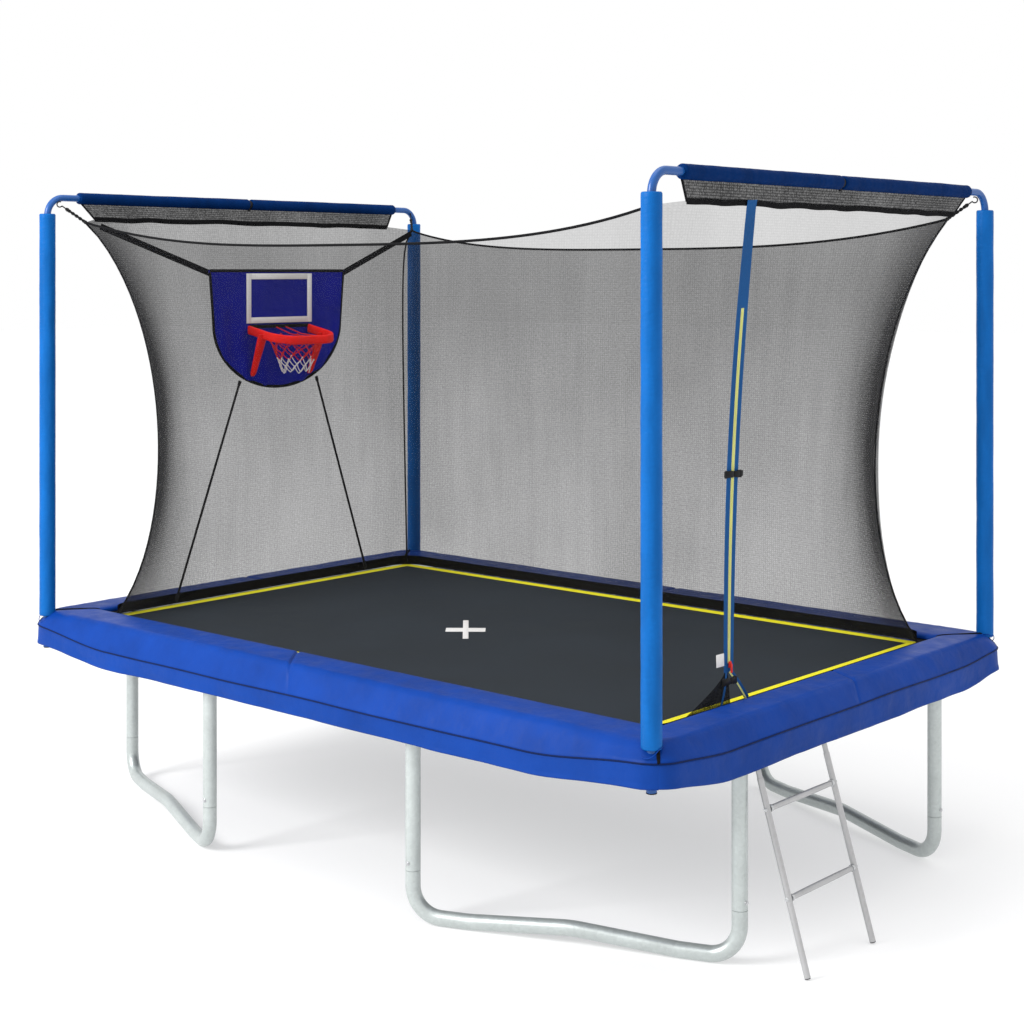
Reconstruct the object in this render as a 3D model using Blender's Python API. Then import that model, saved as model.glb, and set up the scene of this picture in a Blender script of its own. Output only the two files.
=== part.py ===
"""Rectangular garden trampoline with safety net, ladder, zip door and basketball hoop.

World frame: metres, +Z up, floor at z = 0. The long sides run along X, the short sides
along Y. The ladder and the zip door are on the +X side, the hoop is on the -X side.
The X coordinates below are counted from the middle of the mat and shifted at the end, so
that the origin is under the middle of the whole bounding box (the ladder sticks out).
"""
import math

import bmesh
import bpy
import numpy as np
from mathutils import Vector

ORIGIN_SHIFT_X = 0.10515
GAP = 0.0003

# Frame
RAIL_X = 1.820
RAIL_Y = 1.220
RAIL_Z = 0.856
RAIL_RADIUS = 0.024
RAIL_BEND = 0.250
RAIL_SPLIT_X = 0.450
SPIGOT_RADIUS = 0.0209
SOCKET_RADIUS = 0.0220
SPIGOT_LENGTH = 0.070
TUBE_SIDES = 12

# Legs
LEG_X = 0.620
LEG_Y = 0.740
LEG_RADIUS = 0.030
LEG_JOINT_Z = 0.205
LEG_BEND = 0.115
LEG_KINK_LIFT = 0.028
LEG_STUB_LENGTH = 0.115
LEG_KINK_BEND = 0.600
LEG_FLAT_RUN = 0.230

# Net poles and top arches
POST_X = 1.800
POST_Y = 1.250
POST_RADIUS = 0.019
POST_BOTTOM_Z = 0.738
POST_TOP_Z = 2.804
SLEEVE_RADIUS = 0.039
SLEEVE_BORE = 0.0196
SLEEVE_BOTTOM_Z = 0.8925
SLEEVE_TOP_Z = 2.812
ARCH_RADIUS = 0.016
ARCH_Z = 2.890
ARCH_BEND = 0.085
ARCH_INSERT = 0.160
ARCH_BORE = 0.0167
ARCH_SPIGOT = 0.0120
ARCH_SOCKET = 0.0127
BAR_FOAM_RADIUS = 0.029
BAR_FOAM_BORE = 0.0167
BAR_FOAM_END_Y = 1.075
BAR_FOAM_INNER_Y = 0.010
COLLAR_RADIUS = 0.0232
COLLAR_BORE = 0.0197
COLLAR_BOTTOM_Z = 0.838
COLLAR_TOP_Z = 0.872
ARM_ROOT_OVERLAP = 0.006

# Mat and springs
MAT_X = 1.620
MAT_Y = 1.012
MAT_BOTTOM_Z = 0.873
MAT_TOP_Z = 0.876
MAT_CORNER = 0.060
SPRING_PITCH = 0.115
SPRING_RADIUS = 0.007
SPRING_Z = 0.8715
SPRINGS_LONG_SIDE = 26
SPRINGS_SHORT_SIDE = 16
WEBBING_WIDTH = 0.020
WEBBING_THICKNESS = 0.004
SPRING_END_CLEARANCE = 0.0252

# Safety pad
PAD_INNER_X = 1.665
PAD_INNER_Y = 1.037
PAD_OUTER_X = 1.875
PAD_OUTER_Y = 1.300
PAD_CORNER = 0.110
PAD_MITRE_GAP = 0.0008
PAD_HOLE_RADIUS = 0.0401
SKIRT_THICKNESS = 0.003
SKIRT_BOTTOM_Z = 0.745

# Safety net
NET_BOTTOM_X = 1.632
NET_BOTTOM_Y = 1.022
NET_BOTTOM_Z = 0.886
NET_CORNER = 0.110
NET_TOP_CORNER = (1.685, 1.115, 2.772)
NET_BAND_X = 1.772
NET_BAND_Y = 1.000
NET_BAND_Z = 2.790
NET_FLAP_TOP = (1.790, 2.858)
HEM_END = (1.643, 1.103, 2.760)
HEM_SAG = 0.112
HEM_PULL = 0.070
HEM_SAG_POWER = 3.2
TIE_RADIUS = 0.0035
TIE_TOP = (1.768, 1.188, 2.858)
NET_THICKNESS = 0.003
NET_TENSION = 0.31
NET_ROWS = 12
NET_LONG_COLUMNS = 12
NET_SHORT_COLUMNS = 10
NET_RELAX_STEPS = 900
NET_CORNER_COLUMNS = 3
DOOR_COLUMN = 2

# Zip door
STRIP_WIDTH = 0.060
STRIP_THICKNESS = 0.0025
STRIP_OFFSET = 0.0065
SLIDER_Z = 1.040
BUCKLE_Z = (0.978, 1.765)
BUCKLE_LENGTH = 0.080

# Basketball hoop
BOARD_X = -1.560
BOARD_HALF_WIDTH = 0.465
BOARD_TOP_Z = 2.542
BOARD_HEIGHT = 0.612
BOARD_THICKNESS = 0.006
RIM_HALF_WIDTH = 0.205
RIM_DEPTH = 0.250
RIM_Z = 2.235
RIM_DROP = 0.050
RIM_BEND = 0.120
RIM_BAND_HEIGHT = 0.044
RIM_BAND_THICKNESS = 0.020
STRUT_FOOT_DROP = 0.545
HOOP_NET_TOP_RADIUS = 0.120
HOOP_NET_BOTTOM_RADIUS = 0.070
HOOP_NET_LENGTH = 0.175
HOOP_NET_ROWS = 4
HOOP_NET_COLUMNS = 10
HOOP_CORD_THICKNESS = 0.0045
STRAP_WIDTH = 0.025
STRAP_THICKNESS = 0.002
STRAP_END = (-1.638, 1.062, 2.752)
CORD_FOOT = (-1.585, 0.650, 0.905)

# Ladder
LADDER_Y = (-0.690, -0.230)
LADDER_RADIUS = 0.0125
LADDER_SKIRT_X = 1.8570
LADDER_FOOT_X = 2.0777
LADDER_FOOT_Z = 0.0037
LADDER_TOP_Z = 0.806
RUNG_Z = (0.577, 0.272)
HOOK_INNER = 0.0247
HOOK_OUTER = 0.0284
HOOK_WIDTH = 0.022

MATERIALS = {
    "galvanised": ((0.60, 0.63, 0.63), 0.38, 0.85),
    "ladder_grey": ((0.48, 0.47, 0.51), 0.40, 0.75),
    "pole_blue": ((0.020, 0.115, 0.42), 0.40, 0.25),
    "foam_blue": ((0.018, 0.165, 0.56), 0.55, 0.0),
    "foam_navy": ((0.004, 0.040, 0.180), 0.60, 0.0),
    "pad_blue": ((0.018, 0.080, 0.430), 0.50, 0.0),
    "mat_black": ((0.022, 0.028, 0.031), 0.75, 0.0),
    "net_black": ((0.025, 0.025, 0.027), 0.85, 0.0),
    "zinc_spring": ((0.55, 0.56, 0.57), 0.30, 0.90),
    "strip_blue": ((0.020, 0.110, 0.330), 0.65, 0.0),
    "plastic_black": ((0.015, 0.015, 0.016), 0.45, 0.0),
    "slider_red": ((0.65, 0.030, 0.020), 0.40, 0.0),
    "board_indigo": ((0.022, 0.018, 0.330), 0.55, 0.0),
    "rim_red": ((0.85, 0.025, 0.018), 0.45, 0.0),
    "cord_white": ((0.70, 0.66, 0.66), 0.70, 0.0),
    "webbing_black": ((0.016, 0.016, 0.016), 0.80, 0.0),
}


def material(name):
    """Return the named material, making it the first time."""
    found = bpy.data.materials.get(name)
    if found:
        return found
    colour, roughness, metallic = MATERIALS[name]
    made = bpy.data.materials.new(name)
    made.use_nodes = True
    shader = made.node_tree.nodes["Principled BSDF"]
    shader.inputs["Base Color"].default_value = (*colour, 1.0)
    shader.inputs["Roughness"].default_value = roughness
    shader.inputs["Metallic"].default_value = metallic
    return made


def add_object(name, shape, material_name, origin=(0.0, 0.0, 0.0)):
    """Make one object from (vertices, faces) with its origin at the given point."""
    verts, faces = shape
    centre = np.array(origin, dtype=float)
    mesh = bpy.data.meshes.new(name)
    mesh.from_pydata([tuple(np.array(v, dtype=float) - centre) for v in verts], [], faces)
    work = bmesh.new()
    work.from_mesh(mesh)
    bmesh.ops.recalc_face_normals(work, faces=work.faces)
    work.to_mesh(mesh)
    work.free()
    mesh.update()
    obj = bpy.data.objects.new(name, mesh)
    obj.location = origin
    obj.data.materials.append(material(material_name))
    bpy.context.scene.collection.objects.link(obj)
    return obj


def merge(shapes):
    """Put several closed shapes that don't touch into one (vertices, faces) pair."""
    verts = []
    faces = []
    for shape_verts, shape_faces in shapes:
        base = len(verts)
        verts.extend(shape_verts)
        faces.extend([tuple(i + base for i in face) for face in shape_faces])
    return verts, faces


def add_boolean(target, shape, operation, name):
    """Cut a hidden helper shape from the target, or weld it on."""
    helper = add_object(name, shape, "plastic_black", tuple(target.location))
    helper.hide_render = True
    helper.display_type = "WIRE"
    modifier = target.modifiers.new(name, "BOOLEAN")
    modifier.operation = operation
    modifier.solver = "EXACT"
    modifier.object = helper
    return modifier


def frames(points, first_side=None):
    """Tangent, side and up vectors carried along a path without twist."""
    pts = [Vector(p) for p in points]
    count = len(pts)
    tangents = []
    for i in range(count):
        before = pts[max(i - 1, 0)]
        after = pts[min(i + 1, count - 1)]
        if i > 0 and (pts[i] - pts[i - 1]).length < 1e-7:
            before = pts[max(i - 2, 0)]
        if i < count - 1 and (pts[i + 1] - pts[i]).length < 1e-7:
            after = pts[min(i + 2, count - 1)]
        tangents.append((after - before).normalized())
    seed = Vector((0, 0, 1)) if abs(tangents[0].z) < 0.9 else Vector((1, 0, 0))
    side = first_side or tangents[0].cross(seed).normalized()
    result = []
    for i, tangent in enumerate(tangents):
        if i > 0:
            side = (side - tangent * side.dot(tangent)).normalized()
        result.append((tangent, side, side.cross(tangent).normalized()))
    return pts, result


def rings_to_shape(rings, close_ends=True, close_loop=False):
    """Skin a list of equal rings of points."""
    size = len(rings[0])
    verts = [tuple(p) for ring in rings for p in ring]
    faces = []
    count = len(rings)
    last = count if close_loop else count - 1
    for i in range(last):
        a = i * size
        b = ((i + 1) % count) * size
        for j in range(size):
            k = (j + 1) % size
            faces.append((a + j, a + k, b + k, b + j))
    if close_ends and not close_loop:
        faces.append(tuple(range(size - 1, -1, -1)))
        faces.append(tuple(range((count - 1) * size, count * size)))
    return verts, faces


def ring_at(centre, side, up, radius, segments):
    """Points of one circle around a path point."""
    ring = []
    for j in range(segments):
        angle = 2 * math.pi * (j + 0.5) / segments
        ring.append(centre + side * (radius * math.cos(angle)) + up * (radius * math.sin(angle)))
    return ring


def tube(points, radii, segments, first_side=None):
    """Solid round bar along a path, with one radius or a radius at every path point."""
    pts, axes = frames(points, first_side)
    if not isinstance(radii, (list, tuple)):
        radii = [radii] * len(pts)
    rings = []
    for centre, (_, side, up), radius in zip(pts, axes, radii):
        rings.append(ring_at(centre, side, up, radius, segments))
    return rings_to_shape(rings)


def pipe(points, outer, inner, segments):
    """Open-ended hollow tube along a path."""
    pts, axes = frames(points)
    rings = []
    for centre, (_, side, up) in zip(pts, axes):
        rings.append(ring_at(centre, side, up, outer, segments))
    for centre, (_, side, up) in reversed(list(zip(pts, axes))):
        rings.append(ring_at(centre, side, up, inner, segments))
    return rings_to_shape(rings, close_loop=True)


def socketed_tube(points, outer, bore, depth, segments):
    """Solid bar whose last end has a blind round socket."""
    pts, axes = frames(points)
    rings = []
    for centre, (_, side, up) in zip(pts, axes):
        rings.append(ring_at(centre, side, up, outer, segments))
    tangent, side, up = axes[-1]
    rings.append(ring_at(pts[-1], side, up, bore, segments))
    rings.append(ring_at(pts[-1] - tangent * depth, side, up, bore, segments))
    return rings_to_shape(rings)


def fillet_path(corners, radii, steps):
    """Polyline through the corners, each inner one rounded by an arc of its own radius and steps."""
    corners = [Vector(c) for c in corners]
    path = [corners[0]]
    for i in range(1, len(corners) - 1):
        here = corners[i]
        back = (corners[i - 1] - here).normalized()
        ahead = (corners[i + 1] - here).normalized()
        half = back.angle(ahead) / 2
        reach = radii[i - 1] / math.tan(half)
        bisector = (back + ahead).normalized()
        centre = here + bisector * (radii[i - 1] / math.sin(half))
        start = here + back * reach - centre
        normal = start.normalized()
        tangent = (-back - normal * normal.dot(-back)).normalized()
        sweep = math.pi - 2 * half
        for k in range(steps[i - 1] + 1):
            turn = sweep * k / steps[i - 1]
            path.append(centre + normal * (radii[i - 1] * math.cos(turn))
                        + tangent * (radii[i - 1] * math.sin(turn)))
    path.append(corners[-1])
    return path


def box(low, high):
    """Axis-aligned block."""
    corners = [(x, y, z) for x in (low[0], high[0]) for y in (low[1], high[1])
               for z in (low[2], high[2])]
    faces = [(0, 1, 3, 2), (4, 6, 7, 5), (0, 4, 5, 1), (2, 3, 7, 6), (0, 2, 6, 4), (1, 5, 7, 3)]
    return corners, faces


def mirrored(shape, sx, sy):
    """Mirror a shape built for the +X +Y quarter."""
    verts, faces = shape
    return [(v[0] * sx, v[1] * sy, v[2]) for v in verts], faces


def quarters():
    """Names and signs of the four corners."""
    return [("right_front", 1, -1), ("right_back", 1, 1), ("left_front", -1, -1),
            ("left_back", -1, 1)]


# ---------------------------------------------------------------- frame and legs

def corner_tube_path(end_x, end_y):
    """Centre line of one frame corner, from the long side round to the short side."""
    return fillet_path([(end_x, RAIL_Y, RAIL_Z), (RAIL_X, RAIL_Y, RAIL_Z),
                        (RAIL_X, end_y, RAIL_Z)], [RAIL_BEND], [5])


def add_spigot(points, radii):
    """Extend the last end of a tube's path with a thinner spigot."""
    direction = (points[-1] - points[-2]).normalized()
    points = points + [points[-1].copy(), points[-1] + direction * SPIGOT_LENGTH]
    return points, radii + [SPIGOT_RADIUS, SPIGOT_RADIUS]


def add_first_spigot(points, radii):
    """Extend the first end of a tube's path with a thinner spigot."""
    points, radii = add_spigot(points[::-1], radii[::-1])
    return points[::-1], radii[::-1]


def build_corner(label, sx, sy):
    """Bent corner of the frame with its leg stubs and its pole bracket."""
    path = corner_tube_path(RAIL_SPLIT_X + GAP, GAP / 2)
    points, radii = add_first_spigot(path, [RAIL_RADIUS] * len(path))
    if sy < 0:
        points, radii = add_spigot(points, radii)
        shape = tube(points, radii, TUBE_SIDES)
    else:
        shape = corner_with_socket(points, radii)
    name = "frame_corner_" + label
    obj = add_object(name, mirrored(shape, sx, sy), "galvanised")
    stub_top = RAIL_Z + 0.004
    stub_low = RAIL_Z - LEG_STUB_LENGTH
    stubs = []
    for x, y in ((LEG_X, RAIL_Y), (RAIL_X, LEG_Y)):
        stubs.append(tube([(x, y, stub_low), (x, y, stub_top)], SPIGOT_RADIUS, TUBE_SIDES))
    add_boolean(obj, mirrored(merge(stubs), sx, sy), "UNION", name + "_stubs")
    add_boolean(obj, mirrored(bracket_arm(), sx, sy), "UNION", name + "_arm")
    bore = tube([(POST_X, POST_Y, COLLAR_BOTTOM_Z - 0.01), (POST_X, POST_Y, COLLAR_TOP_Z + 0.01)],
                COLLAR_BORE, 16)
    add_boolean(obj, mirrored(bore, sx, sy), "DIFFERENCE", name + "_bore")
    return obj


def corner_with_socket(points, radii):
    """Corner tube whose short-side end has the blind socket of the joint."""
    pts, axes = frames(points)
    rings = []
    for centre, (_, side, up), radius in zip(pts, axes, radii):
        rings.append(ring_at(centre, side, up, radius, TUBE_SIDES))
    tangent, side, up = axes[-1]
    for depth in (0.0, SPIGOT_LENGTH + 0.004):
        rings.append(ring_at(pts[-1] - tangent * depth, side, up, SOCKET_RADIUS, TUBE_SIDES))
    return rings_to_shape(rings)


def bracket_arm():
    """Steel block from the frame corner out to a round end about the pole."""
    centre = Vector((RAIL_X - RAIL_BEND, RAIL_Y - RAIL_BEND, 0))
    post = Vector((POST_X, POST_Y, 0))
    out = (post - centre).normalized()
    side = Vector((-out.y, out.x, 0))
    start = centre + out * (RAIL_BEND - ARM_ROOT_OVERLAP)
    outline = [start - side * COLLAR_RADIUS]
    steps = 6
    for k in range(steps + 1):
        angle = -math.pi / 2 + math.pi * k / steps
        outline.append(post + side * (COLLAR_RADIUS * math.sin(angle))
                       + out * (COLLAR_RADIUS * math.cos(angle)))
    outline.append(start + side * COLLAR_RADIUS)
    rings = [[Vector((p.x, p.y, z)) for p in outline] for z in (COLLAR_BOTTOM_Z, COLLAR_TOP_Z)]
    return rings_to_shape(rings)


def build_long_rail(label, sy):
    """Straight hollow rail in the middle of a long side."""
    y = RAIL_Y * sy
    shape = pipe([(-RAIL_SPLIT_X, y, RAIL_Z), (RAIL_SPLIT_X, y, RAIL_Z)], RAIL_RADIUS,
                 SOCKET_RADIUS, TUBE_SIDES)
    return add_object("frame_rail_" + label, shape, "galvanised")


def build_leg_base(label, sx, sy):
    """Ground tube of a leg: flat on the ground at both ends and raised a little between."""
    low = LEG_RADIUS * math.cos(math.pi / TUBE_SIDES)
    first = Vector((LEG_X, RAIL_Y, low))
    second = Vector((RAIL_X, LEG_Y, low))
    along = (second - first).normalized() * LEG_FLAT_RUN
    middle = (first + second) / 2 + Vector((0, 0, LEG_KINK_LIFT))
    path = fillet_path([(LEG_X, RAIL_Y, LEG_JOINT_Z), first, first + along, middle, second - along,
                        second, (RAIL_X, LEG_Y, LEG_JOINT_Z)],
                       [LEG_BEND, LEG_KINK_BEND, LEG_KINK_BEND, LEG_KINK_BEND, LEG_BEND],
                       [6, 2, 2, 2, 6])
    points, radii = add_first_spigot(path, [LEG_RADIUS] * len(path))
    points, radii = add_spigot(points, radii)
    level = Vector((0, 0, 1)).cross(second - first).normalized()
    shape = tube(points, radii, TUBE_SIDES, level)
    return add_object("leg_base_" + label, mirrored(shape, sx, sy), "galvanised")


def build_upright(label, x, y):
    """Upright leg tube between the ground tube and the frame stub."""
    top = RAIL_Z - RAIL_RADIUS - 0.001
    shape = pipe([(x, y, LEG_JOINT_Z + GAP), (x, y, top)], LEG_RADIUS, SOCKET_RADIUS, TUBE_SIDES)
    return add_object("leg_upright_" + label, shape, "galvanised")


# ---------------------------------------------------------------- net poles

def build_post(label, sx, sy):
    """Net pole: a tube that takes the end of the top arch in its upper end."""
    x = POST_X * sx
    y = POST_Y * sy
    shape = socketed_tube([(x, y, POST_BOTTOM_Z), (x, y, POST_TOP_Z)], POST_RADIUS,
                          ARCH_BORE, ARCH_INSERT + 0.004, 16)
    return add_object("pole_" + label, shape, "pole_blue")


def build_sleeve(label, sx, sy):
    """Thick foam sleeve round a net pole."""
    x = POST_X * sx
    y = POST_Y * sy
    shape = pipe([(x, y, SLEEVE_BOTTOM_Z), (x, y, SLEEVE_TOP_Z)], SLEEVE_RADIUS, SLEEVE_BORE, 20)
    return add_object("pole_foam_" + label, shape, "foam_blue")


def build_arch(label, sx, sy):
    """Half of a top arch: out of the pole, round the bend, along to the middle clip."""
    x = POST_X * sx
    start = POST_TOP_Z - ARCH_INSERT
    end = GAP / 2
    path = fillet_path([(x, POST_Y, start), (x, POST_Y, ARCH_Z), (x, end, ARCH_Z)],
                       [ARCH_BEND], [8])
    if sy < 0:
        points = path + [path[-1].copy(), path[-1] - Vector((0, 0.050, 0))]
        radii = [ARCH_RADIUS] * len(path) + [ARCH_SPIGOT, ARCH_SPIGOT]
        shape = tube(points, radii, 14)
    else:
        shape = socketed_tube(path, ARCH_RADIUS, ARCH_SOCKET, 0.054, 14)
    verts, faces = shape
    return add_object("top_arch_" + label, ([(v[0], v[1] * sy, v[2]) for v in verts], faces),
                      "pole_blue")


def build_bar_foam(label, sx, sy):
    """Foam sleeve on half of a top bar."""
    x = POST_X * sx
    shape = pipe([(x, BAR_FOAM_INNER_Y * sy, ARCH_Z), (x, BAR_FOAM_END_Y * sy, ARCH_Z)],
                 BAR_FOAM_RADIUS, BAR_FOAM_BORE, 16)
    return add_object("bar_foam_" + label, shape, "foam_navy")


# ---------------------------------------------------------------- mat and springs

def rounded_rectangle(half_x, half_y, radius, steps):
    """Counter-clockwise outline of a rectangle with rounded corners."""
    outline = []
    centres = [(half_x - radius, half_y - radius, 0), (radius - half_x, half_y - radius, 90),
               (radius - half_x, radius - half_y, 180), (half_x - radius, radius - half_y, 270)]
    for cx, cy, start in centres:
        for k in range(steps + 1):
            angle = math.radians(start + 90 * k / steps)
            outline.append((cx + radius * math.cos(angle), cy + radius * math.sin(angle)))
    return outline


def build_mat():
    """Woven jumping mat."""
    outline = rounded_rectangle(MAT_X, MAT_Y, MAT_CORNER, 4)
    low = [Vector((x, y, MAT_BOTTOM_Z)) for x, y in outline]
    high = [Vector((x, y, MAT_TOP_Z)) for x, y in outline]
    return add_object("jumping_mat", rings_to_shape([low, high]), "mat_black",
                      (0.0, 0.0, MAT_TOP_Z))


def comb_place(along, across, side, sign):
    """Turn (along the side, outwards) into X and Y."""
    if side == "long":
        return along, across * sign
    return across * sign, along


def build_springs(label, side, sign):
    """Row of springs of one side on the webbing strip that carries their V-rings."""
    long_side = side == "long"
    edge = MAT_Y if long_side else MAT_X
    rail = RAIL_Y if long_side else RAIL_X
    count = SPRINGS_LONG_SIDE if long_side else SPRINGS_SHORT_SIDE
    inner = edge + GAP
    outer = rail - SPRING_END_CLEARANCE
    half = SPRING_PITCH * (count - 1) / 2 + 0.030
    z_low = SPRING_Z - WEBBING_THICKNESS / 2
    z_high = SPRING_Z + WEBBING_THICKNESS / 2
    a = comb_place(-half, inner, side, sign)
    b = comb_place(half, inner + WEBBING_WIDTH, side, sign)
    low = (min(a[0], b[0]), min(a[1], b[1]), z_low)
    high = (max(a[0], b[0]), max(a[1], b[1]), z_high)
    name = "springs_" + label
    obj = add_object(name, box(low, high), "zinc_spring")
    rods = []
    for k in range(count):
        along = SPRING_PITCH * (k - (count - 1) / 2)
        start = comb_place(along, inner + 0.004, side, sign)
        end = comb_place(along, outer, side, sign)
        rods.append(tube([(start[0], start[1], SPRING_Z), (end[0], end[1], SPRING_Z)],
                         SPRING_RADIUS, 6))
    add_boolean(obj, merge(rods), "UNION", name + "_coils")
    return obj


# ---------------------------------------------------------------- pads

def pad_profile():
    """Cross-section from the inner edge to the outer seam and down the skirt.

    Each entry is (fraction of the way out, offset outwards, height).
    """
    return [(0.00, 0.000, 0.8870), (0.00, 0.000, 0.8925), (0.10, 0.000, 0.9010),
            (0.45, 0.000, 0.9120), (0.80, 0.000, 0.9125), (0.93, 0.000, 0.9030),
            (1.00, 0.000, 0.8770), (1.00, 0.003, 0.8300), (1.00, 0.004, SKIRT_BOTTOM_Z),
            (1.00, 0.004 - SKIRT_THICKNESS, SKIRT_BOTTOM_Z),
            (1.00, -SKIRT_THICKNESS, 0.8700), (0.965, -SKIRT_THICKNESS, 0.8800),
            (0.88, 0.000, 0.8900), (0.30, 0.000, 0.8900)]


def pad_outer_line(half_along, half_across):
    """Outer edge of one pad from corner middle to corner middle, with outward normals."""
    points = []
    steps = 4
    for k in range(steps + 1):
        angle = math.radians(135 - 45 * k / steps)
        points.append((PAD_CORNER - half_along + PAD_CORNER * math.cos(angle),
                       half_across - PAD_CORNER + PAD_CORNER * math.sin(angle),
                       math.cos(angle), math.sin(angle)))
    straight = half_along - PAD_CORNER
    for k in range(1, 6):
        points.append((-straight + 2 * straight * k / 6, half_across, 0.0, 1.0))
    for k in range(steps + 1):
        angle = math.radians(90 - 45 * k / steps)
        points.append((half_along - PAD_CORNER + PAD_CORNER * math.cos(angle),
                       half_across - PAD_CORNER + PAD_CORNER * math.sin(angle),
                       math.cos(angle), math.sin(angle)))
    return points


def build_pad(label, side, sign):
    """Foam safety pad of one side, mitred at its ends, with its hanging skirt."""
    inner_corner = (PAD_INNER_X, PAD_INNER_Y)
    outer_corner = (PAD_OUTER_X, PAD_OUTER_Y)
    if side == "short":
        inner_corner = inner_corner[::-1]
        outer_corner = outer_corner[::-1]
    half_in, across_in = inner_corner
    outer = pad_outer_line(*outer_corner)
    trim = PAD_MITRE_GAP
    span = outer[-1][0] - outer[0][0]
    rings = []
    for ox, oy, nx, ny in outer:
        share = (ox - outer[0][0]) / span
        ix = -half_in + trim + 2 * (half_in - trim) * share
        ring = []
        for out, push, height in pad_profile():
            x = ix + (ox - ix) * out + nx * push
            y = across_in + (oy - across_in) * out + ny * push
            x = x - trim * (2 * share - 1)
            px, py = comb_place(x, y, side, sign)
            ring.append(Vector((px, py, height)))
        rings.append(ring)
    name = "pad_" + label
    obj = add_object(name, rings_to_shape(rings), "pad_blue")
    holes = []
    for end in (-1, 1):
        px, py = (POST_X * end, POST_Y * sign) if side == "long" else (POST_X * sign, POST_Y * end)
        holes.append(tube([(px, py, 0.875), (px, py, 0.95)], PAD_HOLE_RADIUS, 16))
    add_boolean(obj, merge(holes), "DIFFERENCE", name + "_pole_holes")
    return obj


# ---------------------------------------------------------------- safety net

def net_side(quarter):
    """Bottom points, top points and kinds along one straight side of the net."""
    short = quarter % 2 == 0
    sign = 1 if quarter < 2 else -1
    straight_x = NET_BOTTOM_X - NET_CORNER
    straight_y = NET_BOTTOM_Y - NET_CORNER
    count = NET_SHORT_COLUMNS if short else NET_LONG_COLUMNS
    bottom = []
    top = []
    for k in range(count + 1):
        t = -1 + 2 * k / count
        if short:
            bottom.append((NET_BOTTOM_X * sign, straight_y * t * sign, NET_BOTTOM_Z))
            top.append((NET_BAND_X * sign, NET_BAND_Y * t * sign, NET_BAND_Z))
        else:
            dip = 1 - abs(t) ** HEM_SAG_POWER
            bottom.append((-straight_x * t * sign, NET_BOTTOM_Y * sign, NET_BOTTOM_Z))
            top.append((-HEM_END[0] * t * sign, (HEM_END[1] - HEM_PULL * dip) * sign,
                        HEM_END[2] - HEM_SAG * dip))
    return bottom, top, ["band" if short else "hem"] * (count + 1)


def net_corner(quarter):
    """Bottom points, top points and kinds round the corner after one side of the net."""
    sx = 1 if quarter in (0, 3) else -1
    sy = 1 if quarter in (0, 1) else -1
    band = Vector((NET_BAND_X, NET_BAND_Y, NET_BAND_Z))
    hem = Vector(HEM_END)
    before = band if quarter % 2 == 0 else hem
    after = hem if quarter % 2 == 0 else band
    bottom = []
    top = []
    for k in range(1, NET_CORNER_COLUMNS + 1):
        share = k / (NET_CORNER_COLUMNS + 1)
        angle = math.radians(90 * (quarter + share))
        bottom.append(((NET_BOTTOM_X - NET_CORNER) * sx + NET_CORNER * math.cos(angle),
                       (NET_BOTTOM_Y - NET_CORNER) * sy + NET_CORNER * math.sin(angle),
                       NET_BOTTOM_Z))
        place = 2 * share - 1
        high = Vector(NET_TOP_CORNER).lerp(before if place < 0 else after, abs(place))
        top.append((high.x * sx, high.y * sy, high.z))
    return bottom, top, ["corner"] * NET_CORNER_COLUMNS


def net_boundary():
    """Bottom and top loops of the net, column by column, starting along the +X side."""
    bottom = []
    top = []
    kinds = []
    for quarter in range(4):
        for part in (net_side(quarter), net_corner(quarter)):
            bottom.extend(part[0])
            top.extend(part[1])
            kinds.extend(part[2])
    return np.array(bottom), np.array(top), kinds


def relaxed_net():
    """Grid of net points: the sheet hangs between its loops with no bending stiffness."""
    bottom, top, kinds = net_boundary()
    columns = len(bottom)
    grid = np.zeros((NET_ROWS + 1, columns, 3))
    for row in range(NET_ROWS + 1):
        share = row / NET_ROWS
        grid[row] = bottom * (1 - share) + top * share
    lengths = np.linalg.norm(np.roll(bottom, -1, axis=0) - bottom, axis=1)
    height = (NET_BAND_Z - NET_BOTTOM_Z) / NET_ROWS
    ahead = (height / lengths)[None, :, None]
    behind = np.roll(ahead, 1, axis=1)
    width = ((lengths + np.roll(lengths, 1)) / 2 / height)[None, :, None]
    pull = NET_TENSION
    for _ in range(NET_RELAX_STEPS):
        inner = grid[1:-1]
        horizontal = np.roll(inner, -1, axis=1) * ahead + np.roll(inner, 1, axis=1) * behind
        vertical = (grid[2:] + grid[:-2]) * width
        total = pull * (ahead + behind) + 2 * width
        grid[1:-1] = (pull * horizontal + vertical) / total
    rows = np.linspace(0, 1, NET_ROWS + 1)[:, None]
    level = bottom[None, :, 2] * (1 - rows) + top[None, :, 2] * rows
    grid[:, :, 2] = level
    return grid, kinds


def net_sheet(grid, kinds):
    """Vertices and quads of the net with the flaps that hang from the two top bars."""
    rows, columns, _ = grid.shape
    verts = [tuple(p) for p in grid.reshape(-1, 3)]
    faces = []
    for row in range(rows - 1):
        for col in range(columns):
            nxt = (col + 1) % columns
            faces.append((row * columns + col, row * columns + nxt,
                          (row + 1) * columns + nxt, (row + 1) * columns + col))
    upper = {}
    for col in range(columns):
        if kinds[col] == "band":
            x, y, _ = grid[-1, col]
            upper[col] = len(verts)
            verts.append((math.copysign(NET_FLAP_TOP[0], x), y * 1.03, NET_FLAP_TOP[1]))
    base = (rows - 1) * columns
    for col in range(columns):
        nxt = (col + 1) % columns
        if col in upper and nxt in upper:
            faces.append((base + col, base + nxt, upper[nxt], upper[col]))
    return verts, faces


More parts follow.
